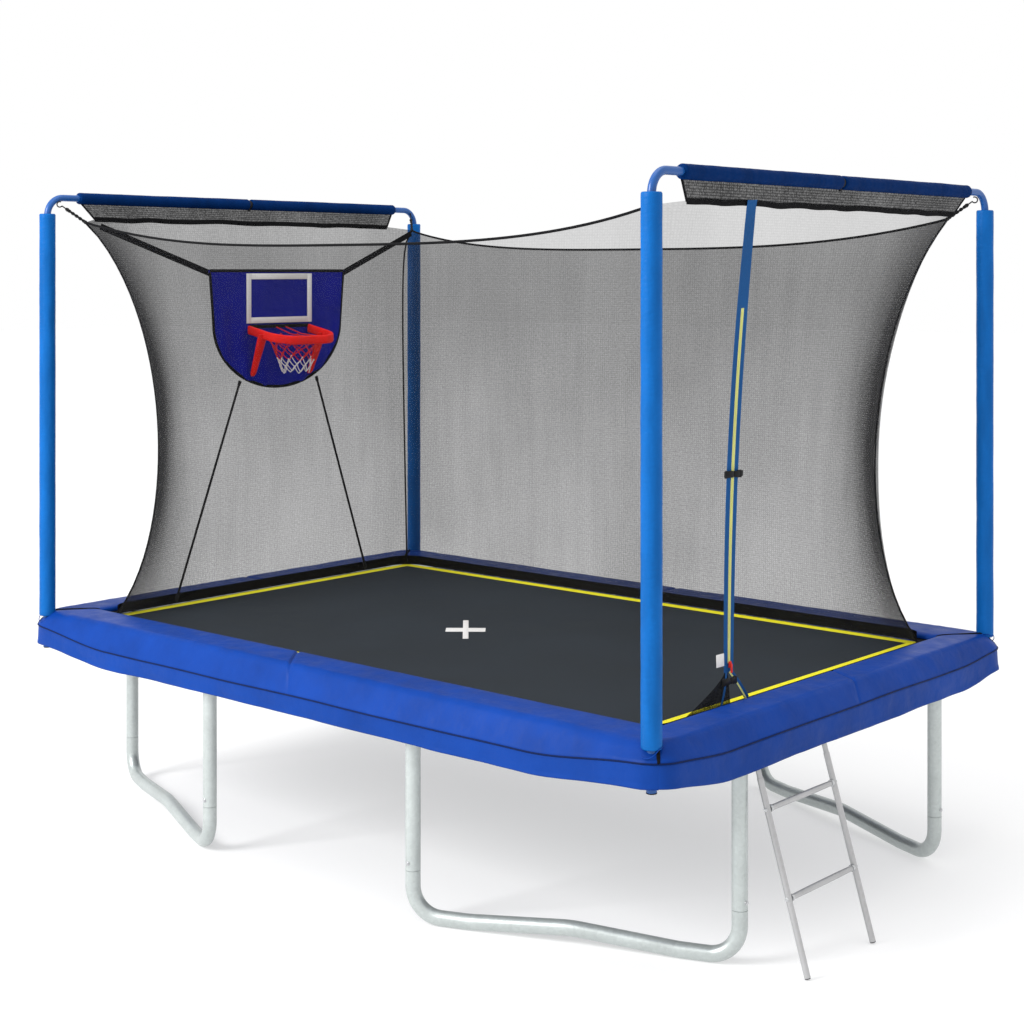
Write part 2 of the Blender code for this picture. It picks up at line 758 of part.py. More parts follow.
def build_net(grid, kinds):
    """The sewn net as one closed sheet with the four corner ties."""
    obj = add_object("safety_net", net_sheet(grid, kinds), "net_black")
    solid = obj.modifiers.new("net_thickness", "SOLIDIFY")
    solid.thickness = NET_THICKNESS
    solid.offset = 0.0
    corner_x, corner_y, corner_z = NET_TOP_CORNER
    ties = []
    for _, sx, sy in quarters():
        ties.append(tube([((corner_x - 0.004) * sx, (corner_y - 0.004) * sy, corner_z - 0.006),
                          (TIE_TOP[0] * sx, TIE_TOP[1] * sy, TIE_TOP[2])], TIE_RADIUS, 6))
    add_boolean(obj, merge(ties), "UNION", "safety_net_ties")
    return obj


# ---------------------------------------------------------------- zip door

def door_line(grid):
    """Points up the net's door column with the outward normal of the net."""
    points = []
    for row in range(grid.shape[0]):
        here = Vector(grid[row, DOOR_COLUMN])
        along = Vector(grid[row, DOOR_COLUMN + 1]) - Vector(grid[row, DOOR_COLUMN - 1])
        upward = Vector(grid[min(row + 1, grid.shape[0] - 1), DOOR_COLUMN]) - \
            Vector(grid[max(row - 1, 0), DOOR_COLUMN])
        points.append((here, along.normalized(), along.cross(upward).normalized()))
    return points


def door_point(grid, z):
    """Point, sideways and outward directions on the door line at a height."""
    line = door_line(grid)
    for low, high in zip(line[:-1], line[1:]):
        if low[0].z <= z <= high[0].z:
            share = (z - low[0].z) / (high[0].z - low[0].z)
            return (low[0].lerp(high[0], share), low[1].lerp(high[1], share).normalized(),
                    low[2].lerp(high[2], share).normalized())
    return line[-1]


def oriented_box(centre, side, up, out, half):
    """Block with its own axes."""
    verts = []
    for a in (-1, 1):
        for b in (-1, 1):
            for c in (-1, 1):
                verts.append(tuple(centre + side * (a * half[0]) + up * (b * half[1])
                                   + out * (c * half[2])))
    faces = [(0, 1, 3, 2), (4, 6, 7, 5), (0, 4, 5, 1), (2, 3, 7, 6), (0, 2, 6, 4), (1, 5, 7, 3)]
    return verts, faces


def build_door(grid):
    """Door strip with its zip tape and the two sewn buckle sockets."""
    rings = []
    line = door_line(grid)
    line[0] = door_point(grid, NET_BOTTOM_Z + 0.012)
    for here, side, out in line:
        centre = here + out * STRIP_OFFSET
        half = STRIP_WIDTH / 2
        thick = STRIP_THICKNESS / 2
        rings.append([centre - side * half - out * thick, centre + side * half - out * thick,
                      centre + side * half + out * thick, centre - side * half + out * thick])
    obj = add_object("door_strip", rings_to_shape(rings), "strip_blue")
    sockets = []
    for z in BUCKLE_Z:
        here, side, out = door_point(grid, z)
        up = out.cross(side).normalized()
        centre = here + out * (STRIP_OFFSET + 0.006) - side * (BUCKLE_LENGTH / 4 + 0.002)
        sockets.append(oriented_box(centre, side, up, out, (BUCKLE_LENGTH / 4, 0.012, 0.006)))
    add_boolean(obj, merge(sockets), "UNION", "door_strip_sockets")
    return obj


def build_buckle_plug(name, grid, z):
    """Buckle plug beside its socket; its joint slides it out sideways."""
    here, side, out = door_point(grid, z)
    up = out.cross(side).normalized()
    centre = here + out * (STRIP_OFFSET + 0.0075) + side * (BUCKLE_LENGTH / 4 + 0.0005)
    shape = oriented_box(centre, side, up, out, (BUCKLE_LENGTH / 4, 0.010, 0.0045))
    return add_object(name, shape, "plastic_black", tuple(centre))


def build_slider(grid):
    """Zip slider with its pull, just above the lower buckle."""
    here, side, out = door_point(grid, SLIDER_Z)
    up = out.cross(side).normalized()
    centre = here + out * (STRIP_OFFSET + 0.0075)
    shape = oriented_box(centre, side, up, out, (0.009, 0.013, 0.005))
    obj = add_object("zip_slider", shape, "slider_red", tuple(centre))
    pull = oriented_box(centre + out * 0.0055 - up * 0.012, side, up, out, (0.005, 0.018, 0.0015))
    add_boolean(obj, pull, "UNION", "zip_slider_pull")
    return obj


# ---------------------------------------------------------------- basketball hoop

def board_outline():
    """Half-width of the backboard at heights below its top edge."""
    outline = []
    for k in range(5):
        t = 0.45 * k / 4
        outline.append((BOARD_HALF_WIDTH * (1 - 0.05 * t / 0.45), BOARD_TOP_Z - BOARD_HEIGHT * t))
    for k in range(1, 12):
        angle = math.radians(90 * k / 12)
        outline.append((BOARD_HALF_WIDTH * 0.95 * math.cos(angle),
                        BOARD_TOP_Z - BOARD_HEIGHT * (0.45 + 0.55 * math.sin(angle))))
    outline.append((0.0, BOARD_TOP_Z - BOARD_HEIGHT))
    return outline


def hoop_pivot():
    """Middle of the line between the two net corners that carry the straps."""
    return (STRAP_END[0], 0.0, STRAP_END[2])


def build_board():
    """Fabric backboard with a flat top and a rounded bottom."""
    half = board_outline()
    loop = [(w, z) for w, z in half] + [(-w, z) for w, z in half[-2::-1]]
    back = [Vector((BOARD_X - BOARD_THICKNESS / 2, w, z)) for w, z in loop]
    front = [Vector((BOARD_X + BOARD_THICKNESS / 2, w, z)) for w, z in loop]
    return add_object("hoop_backboard", rings_to_shape([back, front]), "board_indigo",
                      hoop_pivot())


def rim_path():
    """Centre line of the rim band from one board end round the front to the other."""
    face = BOARD_X + BOARD_THICKNESS / 2 + GAP
    corners = [(face, -RIM_HALF_WIDTH), (face + RIM_DEPTH, -RIM_HALF_WIDTH),
               (face + RIM_DEPTH, RIM_HALF_WIDTH), (face, RIM_HALF_WIDTH)]
    flat = fillet_path([(x, y, 0.0) for x, y in corners], [RIM_BEND, RIM_BEND], [6, 6])
    path = []
    for p in flat:
        share = (p.x - face) / RIM_DEPTH
        path.append(Vector((p.x, p.y, RIM_Z - RIM_DROP * share)))
    return path


def build_rim():
    """Rim band and the two struts from its front corners back to the board."""
    path = rim_path()
    _, axes = frames([(p.x, p.y, 0.0) for p in path])
    rise = Vector((0, 0, RIM_BAND_HEIGHT / 2))
    rings = []
    for p, (tangent, _, _) in zip(path, axes):
        half = Vector((-tangent.y, tangent.x, 0)) * (RIM_BAND_THICKNESS / 2)
        rings.append([p - half - rise, p + half - rise, p + half + rise, p - half + rise])
    obj = add_object("hoop_rim", rings_to_shape(rings), "rim_red", hoop_pivot())
    face = BOARD_X + BOARD_THICKNESS / 2 + GAP
    struts = []
    for sy in (-1, 1):
        top = Vector((face + RIM_DEPTH * 0.62, (RIM_HALF_WIDTH - 0.004) * sy,
                      RIM_Z - RIM_DROP * 0.7))
        low = Vector((face + 0.014, (RIM_HALF_WIDTH - 0.010) * sy, BOARD_TOP_Z - STRUT_FOOT_DROP))
        rings = []
        for centre, wide, deep in ((top, 0.030, 0.030), (low, 0.018, 0.012)):
            rings.append([centre + Vector((-deep, -wide, 0)), centre + Vector((deep, -wide, 0)),
                          centre + Vector((deep, wide, 0)), centre + Vector((-deep, wide, 0))])
        struts.append(rings_to_shape(rings))
    add_boolean(obj, merge(struts), "UNION", "hoop_rim_struts")
    return obj


def hoop_net_points(centre_x, top):
    """Knots of the ball net: rings that narrow downwards, each turned by half a step."""
    points = []
    for row in range(HOOP_NET_ROWS + 1):
        share = row / HOOP_NET_ROWS
        narrowing = (HOOP_NET_TOP_RADIUS - HOOP_NET_BOTTOM_RADIUS) * share ** 0.7
        radius = HOOP_NET_TOP_RADIUS - narrowing
        for k in range(HOOP_NET_COLUMNS):
            angle = 2 * math.pi * (k + 0.5 * (row % 2)) / HOOP_NET_COLUMNS
            out = radius * 0.92 * math.cos(angle)
            tilt = -RIM_DROP * 0.8 * out / RIM_DEPTH * (1 - share)
            points.append((centre_x + out, radius * math.sin(angle),
                           top - HOOP_NET_LENGTH * share + tilt))
    return points


def build_hoop_net():
    """Knotted ball net: one welded lattice of cords below the rim."""
    centre_x = BOARD_X + BOARD_THICKNESS / 2 + GAP + RIM_DEPTH / 2
    top = RIM_Z - (RIM_DROP + RIM_BAND_HEIGHT) / 2 - 0.0025
    columns = HOOP_NET_COLUMNS
    faces = []
    for row in range(HOOP_NET_ROWS - 1):
        middle = (row + 1) * columns
        for k in range(columns):
            left = (k - 1 + row % 2) % columns
            right = (left + 1) % columns
            faces.append((row * columns + k, middle + left, middle + columns + k, middle + right))
    for k in range(columns):
        faces.append((k, k + columns, (k + 1) % columns))
    obj = add_object("hoop_net", (hoop_net_points(centre_x, top), faces), "cord_white",
                     hoop_pivot())
    wire = obj.modifiers.new("hoop_net_cords", "WIREFRAME")
    wire.thickness = HOOP_CORD_THICKNESS
    wire.use_boundary = True
    wire.use_replace = True
    wire.use_even_offset = False
    return obj


def build_strap(label, sy):
    """Webbing strap from a top corner of the board up to the net corner."""
    start = Vector((BOARD_X, (BOARD_HALF_WIDTH + 0.002) * sy, BOARD_TOP_Z + 0.006))
    end = Vector((STRAP_END[0], STRAP_END[1] * sy, STRAP_END[2]))
    along = (end - start).normalized()
    flat = Vector((1, 0, 0))
    across = along.cross(flat).normalized()
    thick = across.cross(along).normalized()
    rings = []
    for p in (start, end):
        half = across * (STRAP_WIDTH / 2)
        rise = thick * (STRAP_THICKNESS / 2)
        rings.append([p - half - rise, p + half - rise, p + half + rise, p - half + rise])
    return add_object("hoop_strap_" + label, rings_to_shape(rings), "webbing_black", hoop_pivot())


def build_cord(label, sy):
    """Elastic cord from the lower edge of the board down to the net hem."""
    top = Vector((BOARD_X, 0.262 * sy, BOARD_TOP_Z - BOARD_HEIGHT * 0.925))
    foot = Vector((CORD_FOOT[0], CORD_FOOT[1] * sy, CORD_FOOT[2]))
    step = (foot - top).normalized()
    return add_object("hoop_cord_" + label, tube([top + step * 0.012, foot], 0.004, 8),
                      "webbing_black")


# ---------------------------------------------------------------- ladder

def ladder_x(z):
    """X of a ladder rail's axis at a height."""
    slope = (LADDER_FOOT_X - LADDER_SKIRT_X) / (SKIRT_BOTTOM_Z - LADDER_FOOT_Z)
    return LADDER_SKIRT_X + (SKIRT_BOTTOM_Z - z) * slope


def hook_profile():
    """Outline of the hook in the XZ plane: a shank and an arc over the frame rail."""
    inner = []
    outer = []
    for k in range(10):
        angle = math.radians(-48 + 166 * k / 9)
        inner.append((RAIL_X + HOOK_INNER * math.cos(angle), RAIL_Z + HOOK_INNER * math.sin(angle)))
        outer.append((RAIL_X + HOOK_OUTER * math.cos(angle), RAIL_Z + HOOK_OUTER * math.sin(angle)))
    shank = ladder_x(LADDER_TOP_Z - 0.015)
    return [(shank - 0.003, LADDER_TOP_Z - 0.015)] + inner + outer[::-1] + \
        [(shank + 0.003, LADDER_TOP_Z - 0.015)]


def build_ladder_rail(label, y):
    """Ladder side rail with the hook that hangs over the frame."""
    pivot = (RAIL_X, y, RAIL_Z)
    shape = tube([(ladder_x(LADDER_TOP_Z), y, LADDER_TOP_Z), (LADDER_FOOT_X, y, LADDER_FOOT_Z)],
                 LADDER_RADIUS, 12)
    name = "ladder_rail_" + label
    obj = add_object(name, shape, "ladder_grey", pivot)
    profile = hook_profile()
    rings = [[Vector((x, y + HOOK_WIDTH / 2 * s, z)) for x, z in profile] for s in (-1, 1)]
    add_boolean(obj, rings_to_shape(rings), "UNION", name + "_hook")
    return obj


def build_rung(label, z):
    """Ladder rung between the two rails."""
    x = ladder_x(z)
    low = LADDER_Y[0] + LADDER_RADIUS + GAP
    high = LADDER_Y[1] - LADDER_RADIUS - GAP
    return add_object("ladder_rung_" + label, tube([(x, low, z), (x, high, z)], LADDER_RADIUS, 12),
                      "ladder_grey", (RAIL_X, (low + high) / 2, RAIL_Z))


# ---------------------------------------------------------------- assembly

def clear_scene():
    """Remove everything that a fresh file starts with."""
    for obj in list(bpy.data.objects):
        bpy.data.objects.remove(obj, do_unlink=True)


def build_frame_and_legs():
    """Frame corners, rails and legs."""
    for label, sx, sy in quarters():
        build_corner(label, sx, sy)
        build_leg_base(label, sx, sy)
        build_upright(label + "_long", LEG_X * sx, RAIL_Y * sy)
        build_upright(label + "_short", RAIL_X * sx, LEG_Y * sy)
    build_long_rail("front", -1)
    build_long_rail("back", 1)


def build_poles():
    """Net poles, their foam and the two top arches."""
    for label, sx, sy in quarters():
        build_post(label, sx, sy)
        build_sleeve(label, sx, sy)
        build_arch(label, sx, sy)
        build_bar_foam(label, sx, sy)


def build_bed():
    """Mat, springs and safety pads."""
    build_mat()
    for label, side, sign in (("front", "long", -1), ("back", "long", 1),
                              ("left", "short", -1), ("right", "short", 1)):
        build_springs(label, side, sign)
        build_pad(label, side, sign)


def build_enclosure():
    """Safety net with the zip door."""
    grid, kinds = relaxed_net()
    build_net(grid, kinds)
    build_door(grid)
    build_slider(grid)
    build_buckle_plug("door_buckle_low", grid, BUCKLE_Z[0])
    build_buckle_plug("door_buckle_high", grid, BUCKLE_Z[1])


def build_hoop():
    """Basketball hoop hanging inside the -X end of the net."""
    build_board()
    build_rim()
    build_hoop_net()
    build_strap("front", -1)
    build_strap("back", 1)
    build_cord("front", -1)
    build_cord("back", 1)


def build_ladder():
    """Hook-on ladder with two rungs."""
    build_ladder_rail("front", LADDER_Y[0])
    build_ladder_rail("back", LADDER_Y[1])
    build_rung("upper", RUNG_Z[0])
    build_rung("lower", RUNG_Z[1])


def main():
    """Build the whole trampoline and centre it on its bounding box."""
    clear_scene()
    build_frame_and_legs()
    build_poles()
    build_bed()
    build_enclosure()
    build_hoop()
    build_ladder()
    for obj in bpy.data.objects:
        obj.location.x -= ORIGIN_SHIFT_X


main()
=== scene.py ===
"""Looks of a rectangular garden trampoline: frame, springs, mat, pads, net, hoop and ladder."""

import math

import bmesh
import bpy
import numpy as np
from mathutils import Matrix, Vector, noise


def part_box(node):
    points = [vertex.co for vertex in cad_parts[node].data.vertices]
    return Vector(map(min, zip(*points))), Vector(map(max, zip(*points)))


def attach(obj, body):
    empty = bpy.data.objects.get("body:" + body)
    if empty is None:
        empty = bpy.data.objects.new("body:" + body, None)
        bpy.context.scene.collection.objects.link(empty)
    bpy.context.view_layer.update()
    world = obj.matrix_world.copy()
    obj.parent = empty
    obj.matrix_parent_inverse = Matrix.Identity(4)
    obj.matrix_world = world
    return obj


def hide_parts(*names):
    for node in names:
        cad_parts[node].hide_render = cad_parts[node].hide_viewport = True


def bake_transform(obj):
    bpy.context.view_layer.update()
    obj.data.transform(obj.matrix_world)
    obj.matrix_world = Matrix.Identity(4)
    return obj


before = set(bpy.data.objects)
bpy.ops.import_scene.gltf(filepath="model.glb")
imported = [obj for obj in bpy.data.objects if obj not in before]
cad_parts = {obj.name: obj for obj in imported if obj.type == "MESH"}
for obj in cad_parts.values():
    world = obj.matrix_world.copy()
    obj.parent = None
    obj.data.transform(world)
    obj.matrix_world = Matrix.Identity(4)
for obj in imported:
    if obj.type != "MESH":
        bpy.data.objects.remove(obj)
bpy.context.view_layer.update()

# ---------------------------------------------------------------- measures, in metres

MAT_LOW, MAT_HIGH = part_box("jumping_mat")
MID_X = (MAT_LOW[0] + MAT_HIGH[0]) / 2
MAT_X = (MAT_HIGH[0] - MAT_LOW[0]) / 2
MAT_Y = MAT_HIGH[1]
MAT_TOP = MAT_HIGH[2]
MAT_THICKNESS = MAT_HIGH[2] - MAT_LOW[2]
MAT_CORNER = 0.060
MAT_SAG = 0.010
LINE_X = 1.592
LINE_Y = 0.984
LINE_WIDTH = 0.052
TAPE_LIFT = 0.0009
CROSS_BARS = (((-0.213, -0.155), (-0.073, -0.034), 0.085, TAPE_LIFT),
              ((-0.290, 0.066), (-0.006, -0.243), 0.026, 0.0015))

RAIL_X = 1.820
RAIL_Y = 1.220
RAIL_Z = 0.856
RAIL_RADIUS = 0.024
RAIL_BEND = 0.250
RAIL_SPLIT_X = 0.450
LEG_X = 0.620
LEG_Y = 0.740
LEG_RADIUS = 0.030
LEG_JOINT_Z = 0.205
LEG_BEND = 0.115
LEG_FLAT_RUN = 0.230
LEG_KINK_BEND = 0.600
LEG_KINK_LIFT = 0.028
WELD_BEAD = 0.0025
ROUND_EDGE = 0.001

POLE_LOW, POLE_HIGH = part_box("pole_right_back")
SLEEVE_LOW, SLEEVE_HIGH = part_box("pole_foam_right_back")
POLE_X = (POLE_LOW[0] + POLE_HIGH[0]) / 2 - MID_X
POLE_Y = (POLE_LOW[1] + POLE_HIGH[1]) / 2
POLE_RADIUS = 0.019
SLEEVE_RADIUS = (SLEEVE_HIGH[0] - SLEEVE_LOW[0]) / 2
SLEEVE_BORE = 0.0192
ARCH_Z = 2.890
ARCH_BEND = 0.085
ARCH_RADIUS = 0.016
BAR_FOAM_RADIUS = 0.0290
BAR_FOAM_BORE = 0.0163
BAR_FOAM_INNER_Y = 0.010
BAR_FOAM_END_Y = 1.075

SPRING_PITCH = 0.115
SPRING_RADIUS = 0.0075
SPRING_WIRE = 0.0012
SPRING_Z = 0.8715
SPRING_HOOK = 0.022
SPRINGS_LONG_SIDE = 26
SPRINGS_SHORT_SIDE = 16

PAD_INNER_X = 1.665
PAD_INNER_Y = 1.037
PAD_OUTER_X = 1.875
PAD_OUTER_Y = 1.300
PAD_CORNER = 0.110
PAD_UNDERSIDE = 0.8880
PAD_CROWN = 0.0215
PAD_MITRE_GAP = 0.0040
PAD_TOP = PAD_UNDERSIDE + 0.003
PAD_SAMPLE_LENGTH = 0.030
PAD_FALL_START = 0.76
PAD_STEPS = (0.0, 0.004, 0.014, 0.03, 0.06, 0.12, 0.22, 0.34, 0.46, 0.58, 0.68, 0.76, 0.83, 0.89,
             0.94, 0.975, 0.993, 1.0)
SEAM_Z = 0.850
SEAM_DIP = 0.052
SEAM_DIP_BY_LADDER = 0.026
SKIRT_CORNER_Z = 0.764
SKIRT_MIDDLE_Z = 0.722
SKIRT_DIP_SHARE = 0.16

NET_BOTTOM_X = 1.632
NET_BOTTOM_Y = 1.022
NET_BOTTOM_Z = 0.886
NET_CORNER = 0.110
NET_FOOT_DROP = 0.008
NET_SKIRT = 0.050
NET_GATHER_REACH = 0.28
NET_TOP_CORNER = (1.685, 1.115, 2.772)
NET_BAND = (1.772, 1.000, 2.790)
HEM_END = (1.643, 1.103, 2.760)
HEM_SAG = 0.112
HEM_PULL = 0.070
HEM_SAG_POWER = 3.2
NET_TENSION = 0.31
NET_ROWS = 28
NET_LONG_COLUMNS = 48
NET_SHORT_COLUMNS = 30
NET_CORNER_COLUMNS = 9
NET_RELAX_STEPS = 2600
FLAP_TOP = (1.797, 2.868)
FLAP_STEPS = 150
FLAP_LENGTH = 1.065
TIE_ANCHOR = (1.776, 1.198, 2.858)

STRIP_WIDTH = 0.060
STRIP_THICKNESS = 0.0022
STRIP_OFFSET = 0.0065
SLIDER_Z = 1.040
BUCKLE_Z = (0.978, 1.765)
DOOR_COLUMN = int(NET_SHORT_COLUMNS * 0.20)
STRIP_TOP = NET_BAND[2] + 0.016
STRIP_BELOW_SLIDER = 0.030
ZIP_TOP = 2.40
TAIL_FEET = {"right": -0.425, "left": -0.600}
OVERLAP_FOOT_Y = -0.530
TAG_Z = 1.062
TAG_SHIFT = 0.054

BOARD_X = -1.560
BOARD_HALF_WIDTH = 0.465
BOARD_TOP_Z = 2.542
BOARD_HEIGHT = 0.612
BOARD_STRAIGHT = 0.45
BOARD_TAPER = 0.05
TARGET_HALF_WIDTH = 0.2235
TARGET_DROPS = (0.0165, 0.273)
TARGET_BAND = 0.030
RIM_X = BOARD_X + 0.0045
RIM_HALF_WIDTH = 0.205
RIM_DEPTH = 0.250
RIM_Z = 2.235
RIM_DROP = 0.050
RIM_BEND = 0.120
BALL_NET_RADII = (0.150, 0.070)
BALL_NET_DEPTH = 0.175
BALL_NET_ROWS = 5
BALL_NET_RED_ROWS = 3
BALL_NET_COLUMNS = 10
STRAP_END = (-1.638, 1.062, 2.752)
CORD_FOOT = (-1.585, 0.650, 0.905)

LADDER_Y = (-0.690, -0.230)
LADDER_RADIUS = 0.0125
LADDER_SKIRT = (1.8570, 0.745)
LADDER_FOOT = (2.0777, 0.0037)
LADDER_TOP_Z = 0.806
RUNG_Z = (0.577, 0.272)

CAMERA_SPOT = (5.469, -6.154, 2.540)
CAMERA_TURN = 41.305
CAMERA_LENS = 62.29
CAMERA_SHIFT = -0.2357
FLOOR_REACH = 60.0
FLOOR_Z = -0.0005
FLOOR_GLOW = 0.50
LIGHTS = (("key_light", (-3.0, -9.5, 6.5), (0.0, 0.0, 1.2), 4.0, 1100.0),
          ("top_light", (0.5, -1.0, 9.0), (0.0, 0.0, 0.8), 6.0, 160.0))

QUARTERS = (("right_front", 1, -1), ("right_back", 1, 1), ("left_front", -1, -1),
            ("left_back", -1, 1))


def place(x, y, z):
    """Point counted from the middle of the mat, in the frame's coordinates."""
    return Vector((MID_X + x, y, z))


# ---------------------------------------------------------------- shapes

def merge(shapes):
    """Put several (vertices, faces) pairs into one."""
    verts = []
    faces = []
    for shape_verts, shape_faces in shapes:
        base = len(verts)
        verts.extend(shape_verts)
        faces.extend([tuple(i + base for i in face) for face in shape_faces])
    return verts, faces


def full_turn(count):
    """Evenly spaced angles round a circle."""
    return [2 * math.pi * k / count for k in range(count)]


def path_axes(points):
    """Tangent, side and up vectors carried along a path without twist."""
    pts = [Vector(p) for p in points]
    tangents = []
    for i in range(len(pts)):
        ahead = pts[min(i + 1, len(pts) - 1)]
        behind = pts[max(i - 1, 0)]
        tangents.append((ahead - behind).normalized())
    seed = Vector((0, 0, 1)) if abs(tangents[0].z) < 0.9 else Vector((1, 0, 0))
    side = tangents[0].cross(seed).normalized()
    axes = []
    for tangent in tangents:
        side = (side - tangent * side.dot(tangent)).normalized()
        axes.append((tangent, side, side.cross(tangent).normalized()))
    return pts, axes


def skin(rings, closed=False):
    """Join equal rings of points by quads, and close the two ends unless the rings form a loop."""
    size = len(rings[0])
    count = len(rings)
    verts = [tuple(p) for ring in rings for p in ring]
    faces = []
    for i in range(count if closed else count - 1):
        a = i * size
        b = ((i + 1) % count) * size
        for j in range(size):
            k = (j + 1) % size
            faces.append((a + j, a + k, b + k, b + j))
    if not closed:
        faces.append(tuple(range(size - 1, -1, -1)))
        faces.append(tuple(range((count - 1) * size, count * size)))
    return verts, faces


def circle(centre, side, up, radius, sides):
    """Ring of points about a centre."""
    turns = [2 * math.pi * (j + 0.5) / sides for j in range(sides)]
    return [centre + side * (radius * math.cos(t)) + up * (radius * math.sin(t)) for t in turns]


def sweep(points, radius, sides=24, rounding=0.0):
    """Round bar along a path; radius is one number or one for each point."""
    pts, axes = path_axes(points)
    radii = list(radius) if isinstance(radius, (list, tuple)) else [radius] * len(pts)
    if rounding:
        lead = axes[0][0] * rounding
        tail = axes[-1][0] * rounding
        pts = [pts[0], pts[0] + lead] + pts[1:-1] + [pts[-1] - tail, pts[-1]]
        axes = [axes[0]] + axes + [axes[-1]]
        radii = [radii[0] - rounding] + radii + [radii[-1] - rounding]
    rings = [circle(p, a[1], a[2], r, sides) for p, a, r in zip(pts, axes, radii)]
    return skin(rings)


def ribbon(points, across, width, thickness):
    """Flat strap along a path; across gives the direction of its width at each point."""
    pts, axes = path_axes(points)
    rings = []
    for p, (tangent, _, _), wide in zip(pts, axes, across):
        wide = (wide - tangent * wide.dot(tangent)).normalized()
        thick = tangent.cross(wide).normalized() * (thickness / 2)
        half = wide * (width / 2)
        edge = wide * min(thickness / 2, width / 6)
        rings.append([p - half, p - half + edge - thick, p + half - edge - thick, p + half,
                      p + half - edge + thick, p - half + edge + thick])
    return skin(rings)


def lathe(profile, centre, sides, axis="z"):
    """Closed solid turned about Z or Y from a loop of (radius, height) points."""
    rings = []
    for radius, height in profile:
        ring = []
        for turn in full_turn(sides):
            a = radius * math.cos(turn)
            b = radius * math.sin(turn)
            ring.append(centre + Vector((a, b, height) if axis == "z" else (a, height, b)))
        rings.append(ring)
    return skin(rings, closed=True)


def slab(centre, side, up, out, half, bevel=0.0):
    """Block with its own axes and bevelled long edges."""
    a, b, c = half
    e = min(bevel, a, b, c) if bevel else 0.0
    section = [(-a + e, -b), (a - e, -b), (a, -b + e), (a, b - e), (a - e, b), (-a + e, b),
               (-a, b - e), (-a, -b + e)]
    rings = []
    for depth, shrink in ((-c, e), (-c + e, 0.0), (c - e, 0.0), (c, e)):
        rings.append([centre + side * (p * (a - shrink) / a) + up * (q * (b - shrink) / b)
                      + out * depth for p, q in section])
    return skin(rings)


def bolt(centre, direction, size=0.0065):
    """Hexagon bolt head on its washer."""
    direction = Vector(direction).normalized()
    _, axes = path_axes([centre, centre + direction])
    _, side, up = axes[0]
    washer = [circle(centre + direction * h, side, up, r, 20)
              for h, r in ((-0.004, size * 1.5), (0.0012, size * 1.5), (0.0016, size * 1.35))]
    head = [circle(centre + direction * h, side, up, r, 6)
            for h, r in ((0.001, size), (size * 0.75, size), (size * 0.95, size * 0.8))]
    return merge([skin(washer), skin(head)])


def fillet_path(corners, radii, steps=10):
    """Polyline through the corners, each inner one rounded by an arc of its own radius."""
    corners = [Vector(c) for c in corners]
    path = [corners[0]]
    for i, radius in enumerate(radii, start=1):
        here = corners[i]
        back = (corners[i - 1] - here).normalized()
        ahead = (corners[i + 1] - here).normalized()
        half = back.angle(ahead) / 2
        centre = here + (back + ahead).normalized() * (radius / math.sin(half))
        normal = (here + back * (radius / math.tan(half)) - centre).normalized()
        tangent = (-back - normal * normal.dot(-back)).normalized()
        sweep_angle = math.pi - 2 * half
        for k in range(steps + 1):
            turn = sweep_angle * k / steps
            path.append(centre + normal * (radius * math.cos(turn))
                        + tangent * (radius * math.sin(turn)))
    path.append(corners[-1])
    return path


def along(start, end, count):
    """Evenly spaced points from start to end."""
    return [Vector(start).lerp(Vector(end), k / (count - 1)) for k in range(count)]


def add_piece(name, shape, material, body="frame", replaces=(), uv=None, sharp=40.0):
    """Make a visible piece, shade it smooth up to the sharp angle and put it on its body."""
    verts, faces = shape
    mesh = bpy.data.meshes.new(name)
    mesh.from_pydata([tuple(v) for v in verts], [], faces)
    if uv is not None:
        layer = mesh.uv_layers.new(name="cloth")
        for loop in mesh.loops:
            layer.data[loop.index].uv = uv[loop.vertex_index]
    work = bmesh.new()
    work.from_mesh(mesh)
    bmesh.ops.recalc_face_normals(work, faces=work.faces)
    work.to_mesh(mesh)
    work.free()
    mesh.shade_smooth()
    mesh.set_sharp_from_angle(angle=math.radians(sharp))
    obj = bpy.data.objects.new(name, mesh)
    obj.data.materials.append(material)
    bpy.context.scene.collection.objects.link(obj)
    if body:
        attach(obj, body)
    if replaces:
        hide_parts(*replaces)
    return obj


def ripple(point, scale, seed):
    """Smooth noise between -1 and 1 at a point."""
    return noise.noise(Vector(point) * scale + Vector((seed, seed * 1.7, -seed)))


# ---------------------------------------------------------------- materials

def node(material, kind, inputs=None, **settings):
    """Add a shader node; inputs are values or sockets to link."""
    made = material.node_tree.nodes.new(kind)
    for key, value in settings.items():
        setattr(made, key, value)
    for key, value in (inputs or {}).items():
        if isinstance(value, bpy.types.NodeSocket):
            material.node_tree.links.new(value, made.inputs[key])
        else:
            made.inputs[key].default_value = value
    return made


def shader_of(material):
    """The material's Principled BSDF."""
    return material.node_tree.nodes["Principled BSDF"]


def link(material, source, target):
    """Connect a socket to a named input of the shader."""
    material.node_tree.links.new(source, shader_of(material).inputs[target])


def coordinates(material, stretch=(1.0, 1.0, 1.0), cloth=False):
    """Metre coordinates of the piece, or the cloth's own, stretched for the grain."""
    if cloth:
        source = node(material, "ShaderNodeUVMap", uv_map="cloth").outputs["UV"]
    else:
        source = node(material, "ShaderNodeTexCoord").outputs["Object"]
    return node(material, "ShaderNodeMapping", {"Vector": source, "Scale": stretch}).outputs["Vector"]


def noise_value(material, vector, scale, detail=3.0, low=0.3, high=0.7):
    """Noise stretched to run from 0 to 1."""
    made = node(material, "ShaderNodeTexNoise", {"Vector": vector, "Scale": scale, "Detail": detail})
    spread = node(material, "ShaderNodeMapRange",
                  {"Value": made.outputs["Fac"], "From Min": low, "From Max": high})
    return spread.outputs["Result"]


